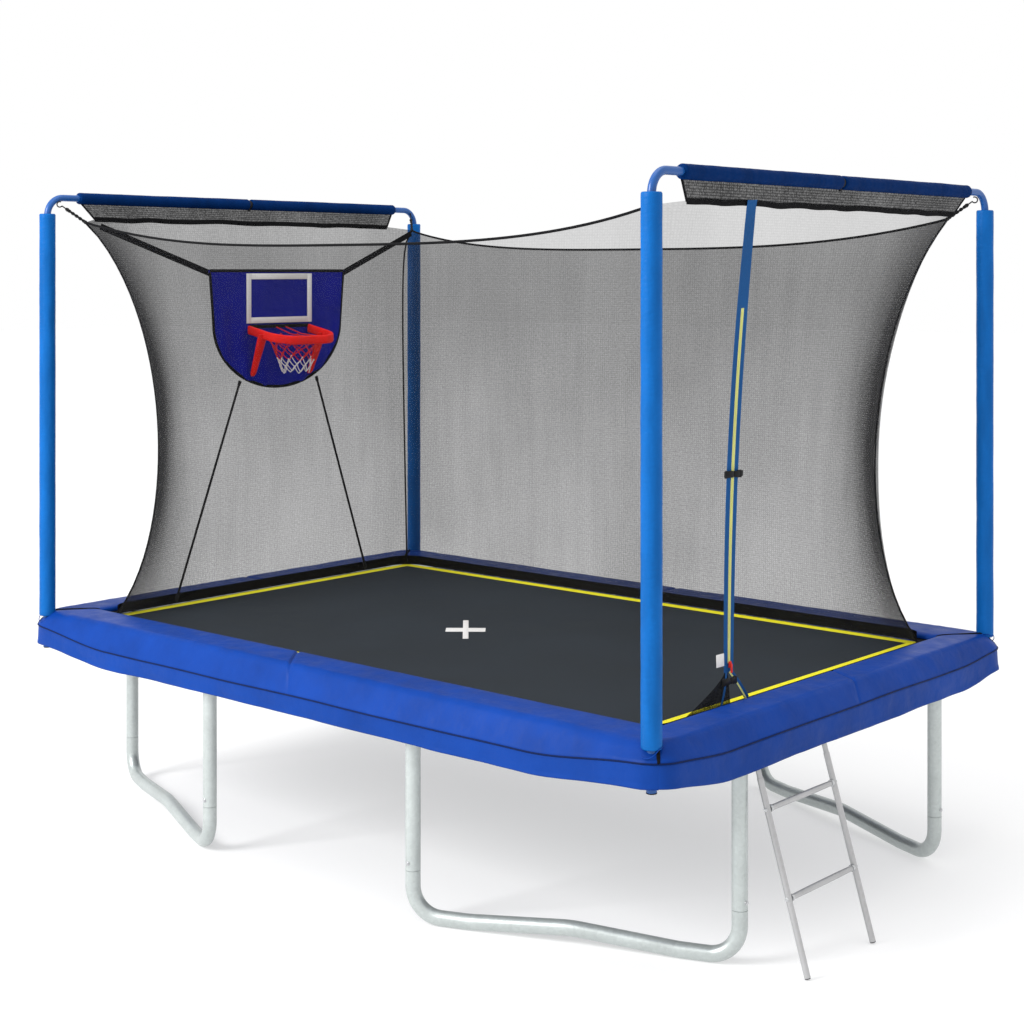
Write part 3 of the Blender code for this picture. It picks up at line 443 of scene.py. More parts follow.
def wave_value(material, vector, direction, scale, distortion=0.0):
    """Sine bands across one direction, 20 * scale / (2 * pi) of them in a metre."""
    made = node(material, "ShaderNodeTexWave", {"Vector": vector, "Scale": scale,
                                                "Distortion": distortion, "Detail": 1.0,
                                                "Detail Scale": 1.5},
                wave_type="BANDS", bands_direction=direction)
    return made.outputs["Fac"]


def maths(material, operation, first, second=0.0, third=0.0):
    """One Math node."""
    return node(material, "ShaderNodeMath", {0: first, 1: second, 2: third},
                operation=operation).outputs[0]


def mix_colour(material, factor, first, second):
    """Blend of two colours by a 0 to 1 socket."""
    inputs = {0: factor}
    for key, value in ((6, first), (7, second)):
        inputs[key] = value if isinstance(value, bpy.types.NodeSocket) else (*value, 1.0)
    return node(material, "ShaderNodeMix", inputs, data_type="RGBA").outputs[2]


def shade(colour, factor):
    """A darker or lighter colour."""
    return tuple(min(1.0, c * factor) for c in colour)


def add_bump(material, height, distance, previous=None):
    """Bump from a height socket; returns the normal to chain or to link."""
    inputs = {"Height": height, "Distance": distance, "Strength": 1.0}
    if previous is not None:
        inputs["Normal"] = previous
    return node(material, "ShaderNodeBump", inputs).outputs["Normal"]


def start_material(name, colour, roughness, metallic=0.0):
    """Empty node material with the plain values set."""
    material = bpy.data.materials.new(name)
    material.use_nodes = True
    shader = shader_of(material)
    shader.inputs["Base Color"].default_value = (*colour, 1.0)
    shader.inputs["Roughness"].default_value = roughness
    shader.inputs["Metallic"].default_value = metallic
    shader.inputs["Specular IOR Level"].default_value = 0.5 if metallic else 0.09
    return material


def vary_roughness(material, socket, low, high):
    """Let a 0 to 1 socket move the roughness between two values."""
    spread = node(material, "ShaderNodeMapRange",
                  {"Value": socket, "To Min": low, "To Max": high}).outputs["Result"]
    link(material, spread, "Roughness")


def metal_material(name, colour, roughness, metallic, spangle):
    """Coated or galvanised steel: soft spangle, fine scratches along the tube, faint dirt."""
    material = start_material(name, colour, roughness, metallic)
    vector = coordinates(material)
    cells = node(material, "ShaderNodeTexVoronoi", {"Vector": vector, "Scale": 85.0})
    grey = node(material, "ShaderNodeSeparateColor", {"Color": cells.outputs["Color"]}).outputs[0]
    patches = noise_value(material, vector, 9.0, 4.0)
    both = maths(material, "MULTIPLY_ADD", grey, spangle, maths(material, "MULTIPLY", patches, 0.5))
    tint = mix_colour(material, both, shade(colour, 0.86), shade(colour, 1.10))
    dirt = noise_value(material, vector, 26.0, 6.0, 0.58, 0.80)
    tint = mix_colour(material, maths(material, "MULTIPLY", dirt, 0.22), tint, shade(colour, 0.55))
    link(material, tint, "Base Color")
    vary_roughness(material, both, roughness - 0.06, roughness + 0.10)
    fine = noise_value(material, coordinates(material, (1.0, 1.0, 0.15)), 420.0, 2.0)
    link(material, add_bump(material, fine, 0.00012), "Normal")
    return material


def vinyl_material(name, colour, roughness, grain=900.0, wrinkle=14.0, depth=0.0016):
    """PVC-coated cloth: fine grain, soft wrinkles, random tone, and a painted highlight that tints the
    crests of the folds lighter.
    """
    material = start_material(name, colour, roughness)
    vector = coordinates(material)
    broad = noise_value(material, vector, wrinkle * 0.35, 3.0)
    folds = noise_value(material, vector, wrinkle, 5.0)
    tint = mix_colour(material, broad, shade(colour, 0.84), shade(colour, 1.14))
    # painted highlight: the fold crests, the high spots of the bump below, tinted lighter
    tint = mix_colour(material, maths(material, "MULTIPLY", folds, 0.35), tint, shade(colour, 1.25))
    link(material, tint, "Base Color")
    vary_roughness(material, folds, roughness - 0.07, roughness + 0.10)
    cells = node(material, "ShaderNodeTexVoronoi", {"Vector": vector, "Scale": grain})
    normal = add_bump(material, folds, depth)
    link(material, add_bump(material, cells.outputs["Distance"], 0.00010, normal), "Normal")
    return material


def foam_material(name, colour, roughness):
    """Thin PVC skin over foam tube: long soft dents with painted highlight and shade along them, and small
    creases with painted shade.
    """
    material = start_material(name, colour, roughness)
    long_dents = noise_value(material, coordinates(material, (1.0, 1.0, 0.25)), 16.0, 3.0)
    creases = noise_value(material, coordinates(material, (1.0, 1.0, 2.2)), 40.0, 4.0)
    # painted highlight and shade: the tint follows the dents' bump, lighter where they rise
    tint = mix_colour(material, long_dents, shade(colour, 0.85), shade(colour, 1.16))
    # painted shade: the tint darkens along the creases
    tint = mix_colour(material, maths(material, "MULTIPLY", creases, 0.25), tint, shade(colour, 0.8))
    link(material, tint, "Base Color")
    vary_roughness(material, creases, roughness - 0.06, roughness + 0.08)
    normal = add_bump(material, long_dents, 0.0020)
    link(material, add_bump(material, creases, 0.0007, normal), "Normal")
    return material


def woven_material(name, colour, roughness, threads, directions="XY", contrast=0.35, depth=0.0004):
    """Woven cloth or webbing: two crossing sets of threads, colour and height alike."""
    material = start_material(name, colour, roughness)
    vector = coordinates(material)
    first = wave_value(material, vector, directions[0], threads)
    second = wave_value(material, vector, directions[1], threads)
    weave = maths(material, "MULTIPLY", first, second)
    patches = noise_value(material, vector, 3.0, 5.0)
    tint = mix_colour(material, weave, shade(colour, 1.0 - contrast), shade(colour, 1.0 + contrast))
    tint = mix_colour(material, maths(material, "MULTIPLY", patches, 0.35), tint, shade(colour, 1.5))
    link(material, tint, "Base Color")
    vary_roughness(material, patches, roughness - 0.08, roughness + 0.06)
    link(material, add_bump(material, weave, depth), "Normal")
    return material


def netting_material(name, coverage, gather=0.5, coverage_high=None):
    """Open black mesh: fine threads, uneven density, closer where the cloth is gathered."""
    material = start_material(name, (0.008, 0.008, 0.009), 0.80)
    fine = coordinates(material, cloth=True)
    threads = maths(material, "MAXIMUM", wave_value(material, fine, "X", 26.0, 1.6),
                    wave_value(material, fine, "Y", 31.0, 1.6))
    uneven = noise_value(material, fine, 90.0, 2.0)
    folds = noise_value(material, coordinates(material, (7.0, 0.8, 1.0), cloth=True), 2.2, 4.0)
    broad = noise_value(material, fine, 1.4, 3.0)
    density = maths(material, "MULTIPLY_ADD", threads, 0.21, 0.72)
    density = maths(material, "MULTIPLY_ADD", uneven, 0.18, density)
    density = maths(material, "MULTIPLY_ADD", folds, 0.06, density)
    density = maths(material, "MULTIPLY_ADD", broad, 0.12, density)
    height = node(material, "ShaderNodeSeparateXYZ", {"Vector": fine}).outputs["Y"]
    level = node(material, "ShaderNodeMapRange",
                 {"Value": height, "From Min": 1.7, "From Max": 2.5, "To Min": coverage,
                  "To Max": coverage_high or coverage}).outputs["Result"]
    alpha = maths(material, "MULTIPLY", density, level)
    closeness = node(material, "ShaderNodeAttribute", attribute_name="gather").outputs["Fac"]
    alpha = maths(material, "MULTIPLY_ADD", closeness, gather, alpha)
    alpha = node(material, "ShaderNodeClamp", {"Value": alpha, "Min": 0.0, "Max": 0.97}).outputs[0]
    link(material, alpha, "Alpha")
    return material


def plastic_material(name, colour, roughness):
    """Moulded plastic: faint flow marks and a fine moulded grain."""
    material = start_material(name, colour, roughness)
    vector = coordinates(material)
    flow = noise_value(material, vector, 30.0, 3.0)
    link(material, mix_colour(material, flow, shade(colour, 0.8), shade(colour, 1.25)), "Base Color")
    vary_roughness(material, flow, roughness - 0.08, roughness + 0.10)
    grain = noise_value(material, vector, 1400.0, 1.0)
    link(material, add_bump(material, grain, 0.00008), "Normal")
    return material


def braid_material(name, colour, second):
    """Braided cord: two colours in slanting bands."""
    material = start_material(name, colour, 0.7)
    vector = coordinates(material)
    bands = wave_value(material, vector, "DIAGONAL", 60.0)
    link(material, mix_colour(material, bands, shade(second, 0.85), colour), "Base Color")
    link(material, add_bump(material, bands, 0.0006), "Normal")
    return material


GALVANISED = metal_material("galvanised", (0.50, 0.54, 0.53), 0.36, 0.50, 0.34)
LADDER_GREY = metal_material("ladder_grey", (0.46, 0.46, 0.465), 0.34, 0.50, 0.18)
ZINC = metal_material("zinc_spring", (0.58, 0.59, 0.60), 0.28, 0.90, 0.20)
POLE_BLUE = metal_material("pole_blue", (0.004, 0.080, 0.310), 0.34, 0.05, 0.15)
FOAM_BLUE = foam_material("foam_blue", (0.003, 0.105, 0.370), 0.42)
# Top-bar foam: a much darker copy of the sleeve foam, its darkness painted shade for the bars' lower light.
FOAM_BAR_SHADED = foam_material("foam_navy", (0.0002, 0.019, 0.098), 0.62)
shader_of(FOAM_BAR_SHADED).inputs["Specular IOR Level"].default_value = 0.03
# Piping much darker than the pads: partly its dark stitching, partly painted shade of the shadow line under
# the outer seam.
PIPING_SEAM_SHADE = vinyl_material("piping_painted_seam_shade", (0.002, 0.010, 0.060), 0.50)
PAD_BLUE = vinyl_material("pad_blue", (0.0015, 0.036, 0.236), 0.44)
SKIRT_BLUE = vinyl_material("skirt_blue", (0.003, 0.039, 0.238), 0.46, wrinkle=9.0, depth=0.0030)
MAT_BLACK = woven_material("mat_black", (0.025, 0.031, 0.038), 0.70, 110.0)
YELLOW_TAPE = woven_material("yellow_tape", (0.98, 0.86, 0.03), 0.60, 200.0, contrast=0.12)
WHITE_TAPE = woven_material("white_tape", (0.80, 0.78, 0.76), 0.65, 200.0, contrast=0.10)
NET_FAR = netting_material("net_far", 0.585, 0.55)
NET_NEAR = netting_material("net_near", 0.09, 0.62, 0.32)
NET_DENSE = netting_material("net_dense", 0.86, 0.2)
HEM_BLACK = woven_material("hem_black", (0.006, 0.006, 0.007), 0.78, 160.0, "YZ", 0.5)
WEBBING = woven_material("webbing_black", (0.006, 0.006, 0.007), 0.76, 150.0, "YZ", 0.5, 0.0006)
STRIP_BLUE = woven_material("strip_blue", (0.012, 0.085, 0.260), 0.62, 150.0, "YZ", 0.30, 0.0006)
ZIP_YELLOW = woven_material("zip_yellow", (0.86, 0.88, 0.28), 0.45, 170.0, "ZZ", 0.30, 0.0008)
BLACK_PLASTIC = plastic_material("plastic_black", (0.015, 0.015, 0.016), 0.42)
RED_ENAMEL = plastic_material("slider_red", (0.70, 0.035, 0.020), 0.30)
RUBBER = plastic_material("rubber_grey", (0.05, 0.05, 0.055), 0.70)
BOARD_INDIGO = vinyl_material("board_indigo", (0.004, 0.008, 0.235), 0.38, 800.0, 10.0, 0.0080)
RIM_RED = vinyl_material("rim_red", (0.80, 0.014, 0.010), 0.42, 900.0, 22.0, 0.0020)
CORD_RED = braid_material("cord_red", (0.80, 0.030, 0.025), (0.45, 0.02, 0.02))
CORD_WHITE = braid_material("cord_white", (0.82, 0.78, 0.78), (0.62, 0.58, 0.60))
ELASTIC = braid_material("elastic_black", (0.020, 0.020, 0.021), (0.008, 0.008, 0.008))


# ---------------------------------------------------------------- frame and legs

def leg_path(sx, sy):
    """Centre line of a ground tube with its two bends and raised middle."""
    low = LEG_RADIUS
    first = place(LEG_X * sx, RAIL_Y * sy, low)
    second = place(RAIL_X * sx, LEG_Y * sy, low)
    step = (second - first).normalized() * LEG_FLAT_RUN
    middle = (first + second) / 2 + Vector((0, 0, LEG_KINK_LIFT))
    corners = [place(LEG_X * sx, RAIL_Y * sy, LEG_JOINT_Z), first, first + step, middle,
               second - step, second, place(RAIL_X * sx, LEG_Y * sy, LEG_JOINT_Z)]
    return fillet_path(corners, [LEG_BEND, LEG_KINK_BEND, LEG_KINK_BEND, LEG_KINK_BEND, LEG_BEND])


def weld_bead(centre, axis, radius):
    """Slightly uneven ring of weld around a tube."""
    _, axes = path_axes([centre, centre + axis])
    _, side, up = axes[0]
    rings = []
    for turn in full_turn(36):
        out = side * math.cos(turn) + up * math.sin(turn)
        size = WELD_BEAD * (1.0 + 0.25 * math.sin(turn * 11))
        middle = centre + out * radius
        rings.append([middle + out * (size * math.cos(a)) + axis * (size * 1.5 * math.sin(a))
                      for a in full_turn(8)])
    return skin(rings, closed=True)


def build_legs():
    """Ground tubes, uprights, their bolts and the welds of the stubs."""
    bolts = []
    welds = []
    for label, sx, sy in QUARTERS:
        add_piece("leg_tube_" + label, sweep(leg_path(sx, sy), LEG_RADIUS, 28), GALVANISED,
                  replaces=["leg_base_" + label])
        for kind, x, y in (("long", LEG_X * sx, RAIL_Y * sy), ("short", RAIL_X * sx, LEG_Y * sy)):
            out = Vector((0, sy, 0)) if kind == "long" else Vector((sx, 0, 0))
            top = RAIL_Z - RAIL_RADIUS - 0.001
            shape = sweep(along(place(x, y, LEG_JOINT_Z + 0.0008), place(x, y, top), 3),
                          LEG_RADIUS, 28, ROUND_EDGE)
            add_piece("leg_upright_tube_%s_%s" % (label, kind), shape, GALVANISED,
                      replaces=["leg_upright_%s_%s" % (label, kind)])
            for z in (LEG_JOINT_Z + 0.032, RAIL_Z - 0.085):
                bolts.append(bolt(place(x, y, z) + out * LEG_RADIUS, out))
            welds.append(weld_bead(place(x, y, top + 0.001), Vector((0, 0, 1)), 0.0225))
    add_piece("leg_bolts", merge(bolts), ZINC)
    add_piece("stub_welds", merge(welds), GALVANISED)


def build_rails():
    """Rail tubes that butt at their joints, and the brackets that hold the poles."""
    for label, sx, sy in QUARTERS:
        path = fillet_path([place(RAIL_SPLIT_X * sx, RAIL_Y * sy, RAIL_Z),
                            place(RAIL_X * sx, RAIL_Y * sy, RAIL_Z),
                            place(RAIL_X * sx, 0.0004 * sy, RAIL_Z)], [RAIL_BEND], 14)
        add_piece("rail_corner_" + label, sweep(path, RAIL_RADIUS, 28, ROUND_EDGE), GALVANISED,
                  replaces=["frame_corner_" + label])
        build_pole_bracket(label, sx, sy)
    for label, sy in (("front", -1), ("back", 1)):
        ends = [place(x, RAIL_Y * sy, RAIL_Z) for x in (-RAIL_SPLIT_X + 0.001, RAIL_SPLIT_X - 0.001)]
        add_piece("rail_middle_" + label,
                  sweep(along(ends[0], ends[1], 3), RAIL_RADIUS, 28, ROUND_EDGE),
                  GALVANISED, replaces=["frame_rail_" + label])


def build_pole_bracket(label, sx, sy):
    """Steel arm from the bent rail to a collar round the pole, with its bolts."""
    bend_centre = place((RAIL_X - RAIL_BEND) * sx, (RAIL_Y - RAIL_BEND) * sy, RAIL_Z)
    post = place(POLE_X * sx, POLE_Y * sy, RAIL_Z)
    out = (post - bend_centre).normalized()
    side = Vector((-out.y, out.x, 0))
    start = bend_centre + out * (RAIL_BEND + RAIL_RADIUS * 0.6)
    reach = (post - start).length - POLE_RADIUS
    arm = slab(start + out * (reach / 2), side, Vector((0, 0, 1)), out,
               (0.013, 0.014, reach / 2), 0.002)
    collar = lathe([(POLE_RADIUS + 0.0003, -0.016), (0.0240, -0.016), (0.0246, -0.014),
                    (0.0246, 0.014), (0.0240, 0.016), (POLE_RADIUS + 0.0003, 0.016)], post, 32)
    head = bolt(post + side * 0.0242, side, 0.0055)
    add_piece("pole_bracket_" + label, merge([arm, collar, head]), GALVANISED)


# ---------------------------------------------------------------- poles and top bars

def foam_tube(start, end, radius, bore, seed, rows, sides=36):
    """Foam sleeve with soft dents: a tube wall with rounded lips."""
    start = Vector(start)
    end = Vector(end)
    axis = (end - start).normalized()
    _, axes = path_axes([start, end])
    _, side, up = axes[0]
    length = (end - start).length
    heights = [0.0, 0.002, 0.006] + [length * k / rows for k in range(1, rows)]
    heights += [length - 0.006, length - 0.002, length]
    rings = []
    for h in heights:
        edge = min(h, length - h)
        lip = 0.004 * max(0.0, 1 - edge / 0.006) ** 2
        ring = []
        for turn in full_turn(sides):
            out = side * math.cos(turn) + up * math.sin(turn)
            middle = start + axis * h
            dent = ripple(middle * 0.8 + out * 0.05, 9.0, seed) * 0.0011
            dent += ripple(middle * 2.0 + out * 0.03, 24.0, seed + 3.0) * 0.0005
            ring.append(middle + out * (radius - 0.0006 - lip + dent))
        rings.append(ring)
    for h in (length, 0.0):
        rings.append([start + axis * h + (side * math.cos(t) + up * math.sin(t)) * bore
                      for t in full_turn(sides)])
    return skin(rings, closed=True)


def build_poles():
    """Net poles with end caps and foam sleeves, arches, and the padded top bars with their clips."""
    for index, (label, sx, sy) in enumerate(QUARTERS):
        x = POLE_X * sx
        y = POLE_Y * sy
        add_piece("pole_tube_" + label,
                  sweep(along(place(x, y, POLE_LOW[2] + 0.004), place(x, y, POLE_HIGH[2]), 4),
                        POLE_RADIUS, 28, ROUND_EDGE), POLE_BLUE,
                  replaces=["pole_" + label])
        cap = sweep([place(x, y, POLE_LOW[2]), place(x, y, POLE_LOW[2] + 0.003),
                     place(x, y, POLE_LOW[2] + 0.0038)], POLE_RADIUS + 0.0006, 28, 0.0015)
        add_piece("pole_cap_" + label, cap, BLACK_PLASTIC)
        sleeve = add_piece("pole_sleeve_" + label,
                           foam_tube(place(x, y, SLEEVE_LOW[2]), place(x, y, SLEEVE_HIGH[2]),
                                     SLEEVE_RADIUS, SLEEVE_BORE, 5.0 + index * 7.0, 90), FOAM_BLUE,
                           replaces=["pole_foam_" + label], sharp=60)
        arch = fillet_path([place(x, y, SLEEVE_HIGH[2] - 0.06), place(x, y, ARCH_Z),
                            place(x, 0.0004 * sy, ARCH_Z)], [ARCH_BEND], 16)
        add_piece("arch_tube_" + label, sweep(arch, ARCH_RADIUS, 24), POLE_BLUE,
                  replaces=["top_arch_" + label])
        # the top bars take the darker foam copy: painted shade
        foam = add_piece("bar_sleeve_" + label,
                         foam_tube(place(x, BAR_FOAM_INNER_Y * sy, ARCH_Z),
                                   place(x, BAR_FOAM_END_Y * sy, ARCH_Z), BAR_FOAM_RADIUS,
                                   BAR_FOAM_BORE, 41.0 + index * 5.0, 60), FOAM_BAR_SHADED,
                         replaces=["bar_foam_" + label], sharp=60)
    for side, sx in (("left", -1), ("right", 1)):
        clip = lathe([(ARCH_RADIUS + 0.0003, -0.009), (0.0205, -0.009), (0.0215, -0.007),
                      (0.0215, 0.007), (0.0205, 0.009), (ARCH_RADIUS + 0.0003, 0.009)],
                     place(POLE_X * sx, 0.0, ARCH_Z), 32, "y")
        lug = slab(place(POLE_X * sx, 0.0, ARCH_Z - 0.027), Vector((1, 0, 0)), Vector((0, 0, 1)),
                   Vector((0, 1, 0)), (0.004, 0.008, 0.0085), 0.0015)
        add_piece("bar_clip_" + side, merge([clip, lug]), BLACK_PLASTIC)


# ---------------------------------------------------------------- mat and springs

def mat_height(x, y):
    """Top of the mat, which sags a little towards its middle."""
    return MAT_TOP - MAT_SAG * (1 - (x / MAT_X) ** 2) * (1 - (y / MAT_Y) ** 2)


def round_corner(x, y):
    """Move a point of the rectangle so that the rectangle's corners become round."""
    dx = abs(x) - (MAT_X - MAT_CORNER)
    dy = abs(y) - (MAT_Y - MAT_CORNER)
    if dx <= 0 or dy <= 0:
        return x, y
    squeeze = max(dx, dy) / math.hypot(dx, dy)
    return (math.copysign(MAT_X - MAT_CORNER + dx * squeeze, x),
            math.copysign(MAT_Y - MAT_CORNER + dy * squeeze, y))


def grid_steps(half, corner, inner, outer):
    """Positions across the mat, close together in the round corners."""
    middle = np.linspace(-(half - corner), half - corner, inner)
    edge = np.linspace(half - corner, half, outer)[1:]
    return list(-edge[::-1]) + list(middle) + list(edge)


def grid_faces(rows, columns, offset=0, flip=False):
    """Quads of a grid of points."""
    faces = []
    for i in range(rows - 1):
        for j in range(columns - 1):
            a = offset + i * columns + j
            quad = (a, a + 1, a + columns + 1, a + columns)
            faces.append(quad[::-1] if flip else quad)
    return faces


def thick_sheet(front, back, rows, columns):
    """Closed shape from two equal grids of points and the strip that joins their edges."""
    count = len(front)
    faces = grid_faces(rows, columns) + grid_faces(rows, columns, count, True)
    rim = [i * columns for i in range(rows)]
    rim += [(rows - 1) * columns + j for j in range(1, columns)]
    rim += [i * columns + columns - 1 for i in range(rows - 2, -1, -1)]
    rim += list(range(columns - 2, 0, -1))
    for a, b in zip(rim, rim[1:] + rim[:1]):
        faces.append((a, b, b + count, a + count))
    return front + back, faces


def build_mat():
    """Woven mat with its yellow edge line and the white cross in its middle."""
    xs = grid_steps(MAT_X, MAT_CORNER, 41, 7)
    ys = grid_steps(MAT_Y, MAT_CORNER, 27, 7)
    top = []
    for x in xs:
        for y in ys:
            rx, ry = round_corner(x, y)
            top.append(place(rx, ry, mat_height(rx, ry)))
    low = [p - Vector((0, 0, MAT_THICKNESS)) for p in top]
    mat = add_piece("mat_cloth", thick_sheet(top, low, len(xs), len(ys)), MAT_BLACK, "mat",
                    ["jumping_mat"])
    add_piece("mat_line", mat_line(), YELLOW_TAPE, "mat")
    add_piece("mat_cross", mat_cross(), WHITE_TAPE, "mat")


def tape_on_mat(start, end, width, lift=TAPE_LIFT):
    """Thin tape lying on the mat between two points of it."""
    start = Vector((start[0], start[1], 0))
    end = Vector((end[0], end[1], 0))
    step = (end - start).normalized()
    half = Vector((-step.y, step.x, 0)) * (width / 2)
    rings = []
    for p in along(start, end, 40):
        ring = []
        for offset, height in ((-1, -0.0004), (-1, lift * 0.6), (-0.85, lift), (0.85, lift),
                               (1, lift * 0.6), (1, -0.0004)):
            q = p + half * offset
            ring.append(place(q.x, q.y, mat_height(q.x, q.y) + height))
        rings.append(ring)
    return skin(rings)


def mat_line():
    """Yellow tape sewn round the jumping area."""
    x = LINE_X
    y = LINE_Y
    reach = LINE_WIDTH / 2
    return merge([tape_on_mat((-x - reach, y * s), (x + reach, y * s), LINE_WIDTH) for s in (-1, 1)]
                 + [tape_on_mat((x * s, -y + reach), (x * s, y - reach), LINE_WIDTH)
                    for s in (-1, 1)])


def mat_cross():
    """Landing mark: a broad short bar across a long narrow one."""
    return merge([tape_on_mat(*bar) for bar in CROSS_BARS])


def spring_coil(inner, outer, turns):
    """One extension spring: coil body with a hook at each end."""
    inner = Vector(inner)
    outer = Vector(outer)
    axis = (outer - inner).normalized()
    side = Vector((0, 0, 1)).cross(axis).normalized()
    up = Vector((0, 0, 1))
    length = (outer - inner).length
    path = [inner + axis * (0.012 - 0.010 * math.cos(t)) - up * (0.006 * math.sin(t))
            for t in (-2.2, -1.2, 0.0, 1.2)]
    steps = 7
    for k in range(turns * steps + 1):
        turn = 2 * math.pi * k / steps
        reach = SPRING_HOOK + (length - 2 * SPRING_HOOK) * k / (turns * steps)
        path.append(inner + axis * reach + side * (SPRING_RADIUS * math.sin(turn))
                    + up * (-SPRING_RADIUS * math.cos(turn) * 0.85))
    path += [outer - axis * (0.012 - 0.010 * math.cos(t)) - up * (0.006 * math.sin(t))
             for t in (1.2, 0.0, -1.2, -2.2)]
    return sweep(path, SPRING_WIRE, 5)


def vee_ring(start, axis, side):
    """Triangular ring that joins a spring to the mat's webbing."""
    corners = [start + side * 0.014 - axis * 0.010, start + axis * 0.016,
               start - side * 0.014 - axis * 0.010]
    return merge([sweep([a, b], 0.0016, 8) for a, b in
                  zip(corners, corners[1:] + corners[:1])])


def build_springs():
    """Springs, V-rings and the webbing along each side of the mat."""
    rows = (("front", "long", -1), ("back", "long", 1), ("left", "short", -1), ("right", "short", 1))
    turns = 22
    for label, kind, sign in rows:
        long_side = kind == "long"
        edge = MAT_Y if long_side else MAT_X
        rail = RAIL_Y if long_side else RAIL_X
        count = SPRINGS_LONG_SIDE if long_side else SPRINGS_SHORT_SIDE
        out = Vector((0, sign, 0)) if long_side else Vector((sign, 0, 0))
        side = Vector((1, 0, 0)) if long_side else Vector((0, 1, 0))
        coils = []
        for k in range(count):
            across = SPRING_PITCH * (k - (count - 1) / 2)
            foot = place(0, 0, SPRING_Z) + side * across
            coils.append(spring_coil(foot + out * (edge + 0.022), foot + out * (rail - 0.0255), turns))
            coils.append(vee_ring(foot + out * (edge + 0.014), out, side))
        name = "springs_" + label
        coil_row = add_piece("coil_" + name, merge(coils), ZINC, None)
        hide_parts(name)
        middle = place(0, 0, SPRING_Z)
        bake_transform(coil_row)
        half = side * (SPRING_PITCH * (count - 1) / 2 + 0.030)
        web = along(middle + out * (edge + 0.011) - half, middle + out * (edge + 0.011) + half, 12)
        add_piece("mat_webbing_" + label, ribbon(web, [out] * 12, 0.020, 0.0035), WEBBING, "mat")


# ---------------------------------------------------------------- pads and skirts

def corner_point(half_x, half_y, angle):
    """Point and outward normal on the rounded corner of the pads' outer edge."""
    nx = math.cos(angle)
    ny = math.sin(angle)
    point = Vector((half_x - PAD_CORNER + PAD_CORNER * nx,
                    half_y - PAD_CORNER + PAD_CORNER * ny, 0))
    return point, Vector((nx, ny, 0))


def outer_edge(half_along, half_across, samples):
    """Outer line of one pad from mitre to mitre as (point, normal), along running up in X."""
    line = []
    arc = math.radians(45)
    arc_length = PAD_CORNER * arc
    straight = 2 * (half_along - PAD_CORNER)
    total = straight + 2 * arc_length
    for s in samples:
        d = s * total
        if d < arc_length:
            point, normal = corner_point(half_along, half_across, arc + d / PAD_CORNER)
            line.append((Vector((-point.x, point.y, 0)), Vector((-normal.x, normal.y, 0))))
        elif d > total - arc_length:
            left = total - d
            line.append(corner_point(half_along, half_across, arc + left / PAD_CORNER))
        else:
            line.append((Vector((d - arc_length - half_along + PAD_CORNER, half_across, 0)),
                         Vector((0, 1, 0))))
    return line


def to_side(point, kind, sign):
    """Turn a point of the +Y long side into the same point of the wanted side."""
    if kind == "long":
        return place(point.x, point.y * sign, point.z)
    return place(point.y * sign, point.x, point.z)


def smooth_step(t):
    """0 to 1 with flat ends."""
    t = min(1.0, max(0.0, t))
    return t * t * (3 - 2 * t)


def seam_samples(length):
    """Positions along a pad from 0 to 1, close together at its ends and at its cross seam, 0.5."""
    count = int(length / PAD_SAMPLE_LENGTH)
    base = list(np.linspace(0.0, 1.0, count))
    near = [0.002, 0.004, 0.007, 0.011, 0.016, 0.022]
    extra = [d / length for d in near] + [1 - d / length for d in near]
    for d in [0.0] + near:
        extra += [0.5 - d / length, 0.5 + d / length]
    merged = sorted(set(round(v, 6) for v in base + extra))
    kept = [merged[0]]
    for v in merged[1:]:
        if v - kept[-1] > 0.0004:
            kept.append(v)
    return kept


class PadSide:
    """Numbers of one pad: its side, where its cross seam runs, how its outer seam dips."""

    def __init__(self, label, kind, sign, seam_inner, seam_outer, seed):
        self.label = label
        self.kind = kind
        self.sign = sign
        self.seed = seed
        self.seam_dip = SEAM_DIP_BY_LADDER if label == "right" else SEAM_DIP
        inner = (PAD_INNER_X, PAD_INNER_Y)
        outer = (PAD_OUTER_X, PAD_OUTER_Y)
        if kind == "short":
            inner = inner[::-1]
            outer = outer[::-1]
        self.half_in, self.across_in = inner
        self.half_out, self.across_out = outer
        self.length = 2 * (self.half_out - PAD_CORNER) + PAD_CORNER * math.radians(90)
        self.samples = seam_samples(self.length)
        middle = 0.5 + seam_outer / self.length
        self.outer = outer_edge(self.half_out, self.across_out,
                                [self.warp(s, middle) for s in self.samples])
        inner_middle = 0.5 + seam_inner / (2 * self.half_in)
        self.inner = [Vector((-self.half_in + 2 * self.half_in * self.warp(s, inner_middle),
                              self.across_in, 0)) for s in self.samples]

    @staticmethod
    def warp(s, middle):
        """Stretch 0 to 1 so that 0.5 lands on middle."""
        return s * 2 * middle if s < 0.5 else middle + (s - 0.5) * 2 * (1 - middle)

    def dip(self, s):
        """0 at the corners, 1 where the side hangs lowest."""
        return smooth_step(min(s, 1 - s) / SKIRT_DIP_SHARE)

    def seam_height(self, s):
        """Height of the outer seam."""
        wobble = 0.004 * ripple((s * self.length, self.sign, 0), 2.3, self.seed)
        return SEAM_Z - self.seam_dip * self.dip(s) + wobble

    def gap(self, s):
        """Distance from the nearest mitre or cross seam."""
        return min(s, 1 - s, abs(s - 0.5)) * self.length


def pad_crown(v):
    """Rise of a pad's top over its base: flat in the middle with rounded shoulders."""
    return PAD_CROWN * (1 - abs(2 * v - 1) ** 8) ** 0.5


def pad_base(v, seam):
    """Height of the base under a pad's top at a share of its width, falling to its outer seam."""
    fall = smooth_step((v - PAD_FALL_START) / (1 - PAD_FALL_START)) * (PAD_TOP - seam)
    return PAD_TOP - fall


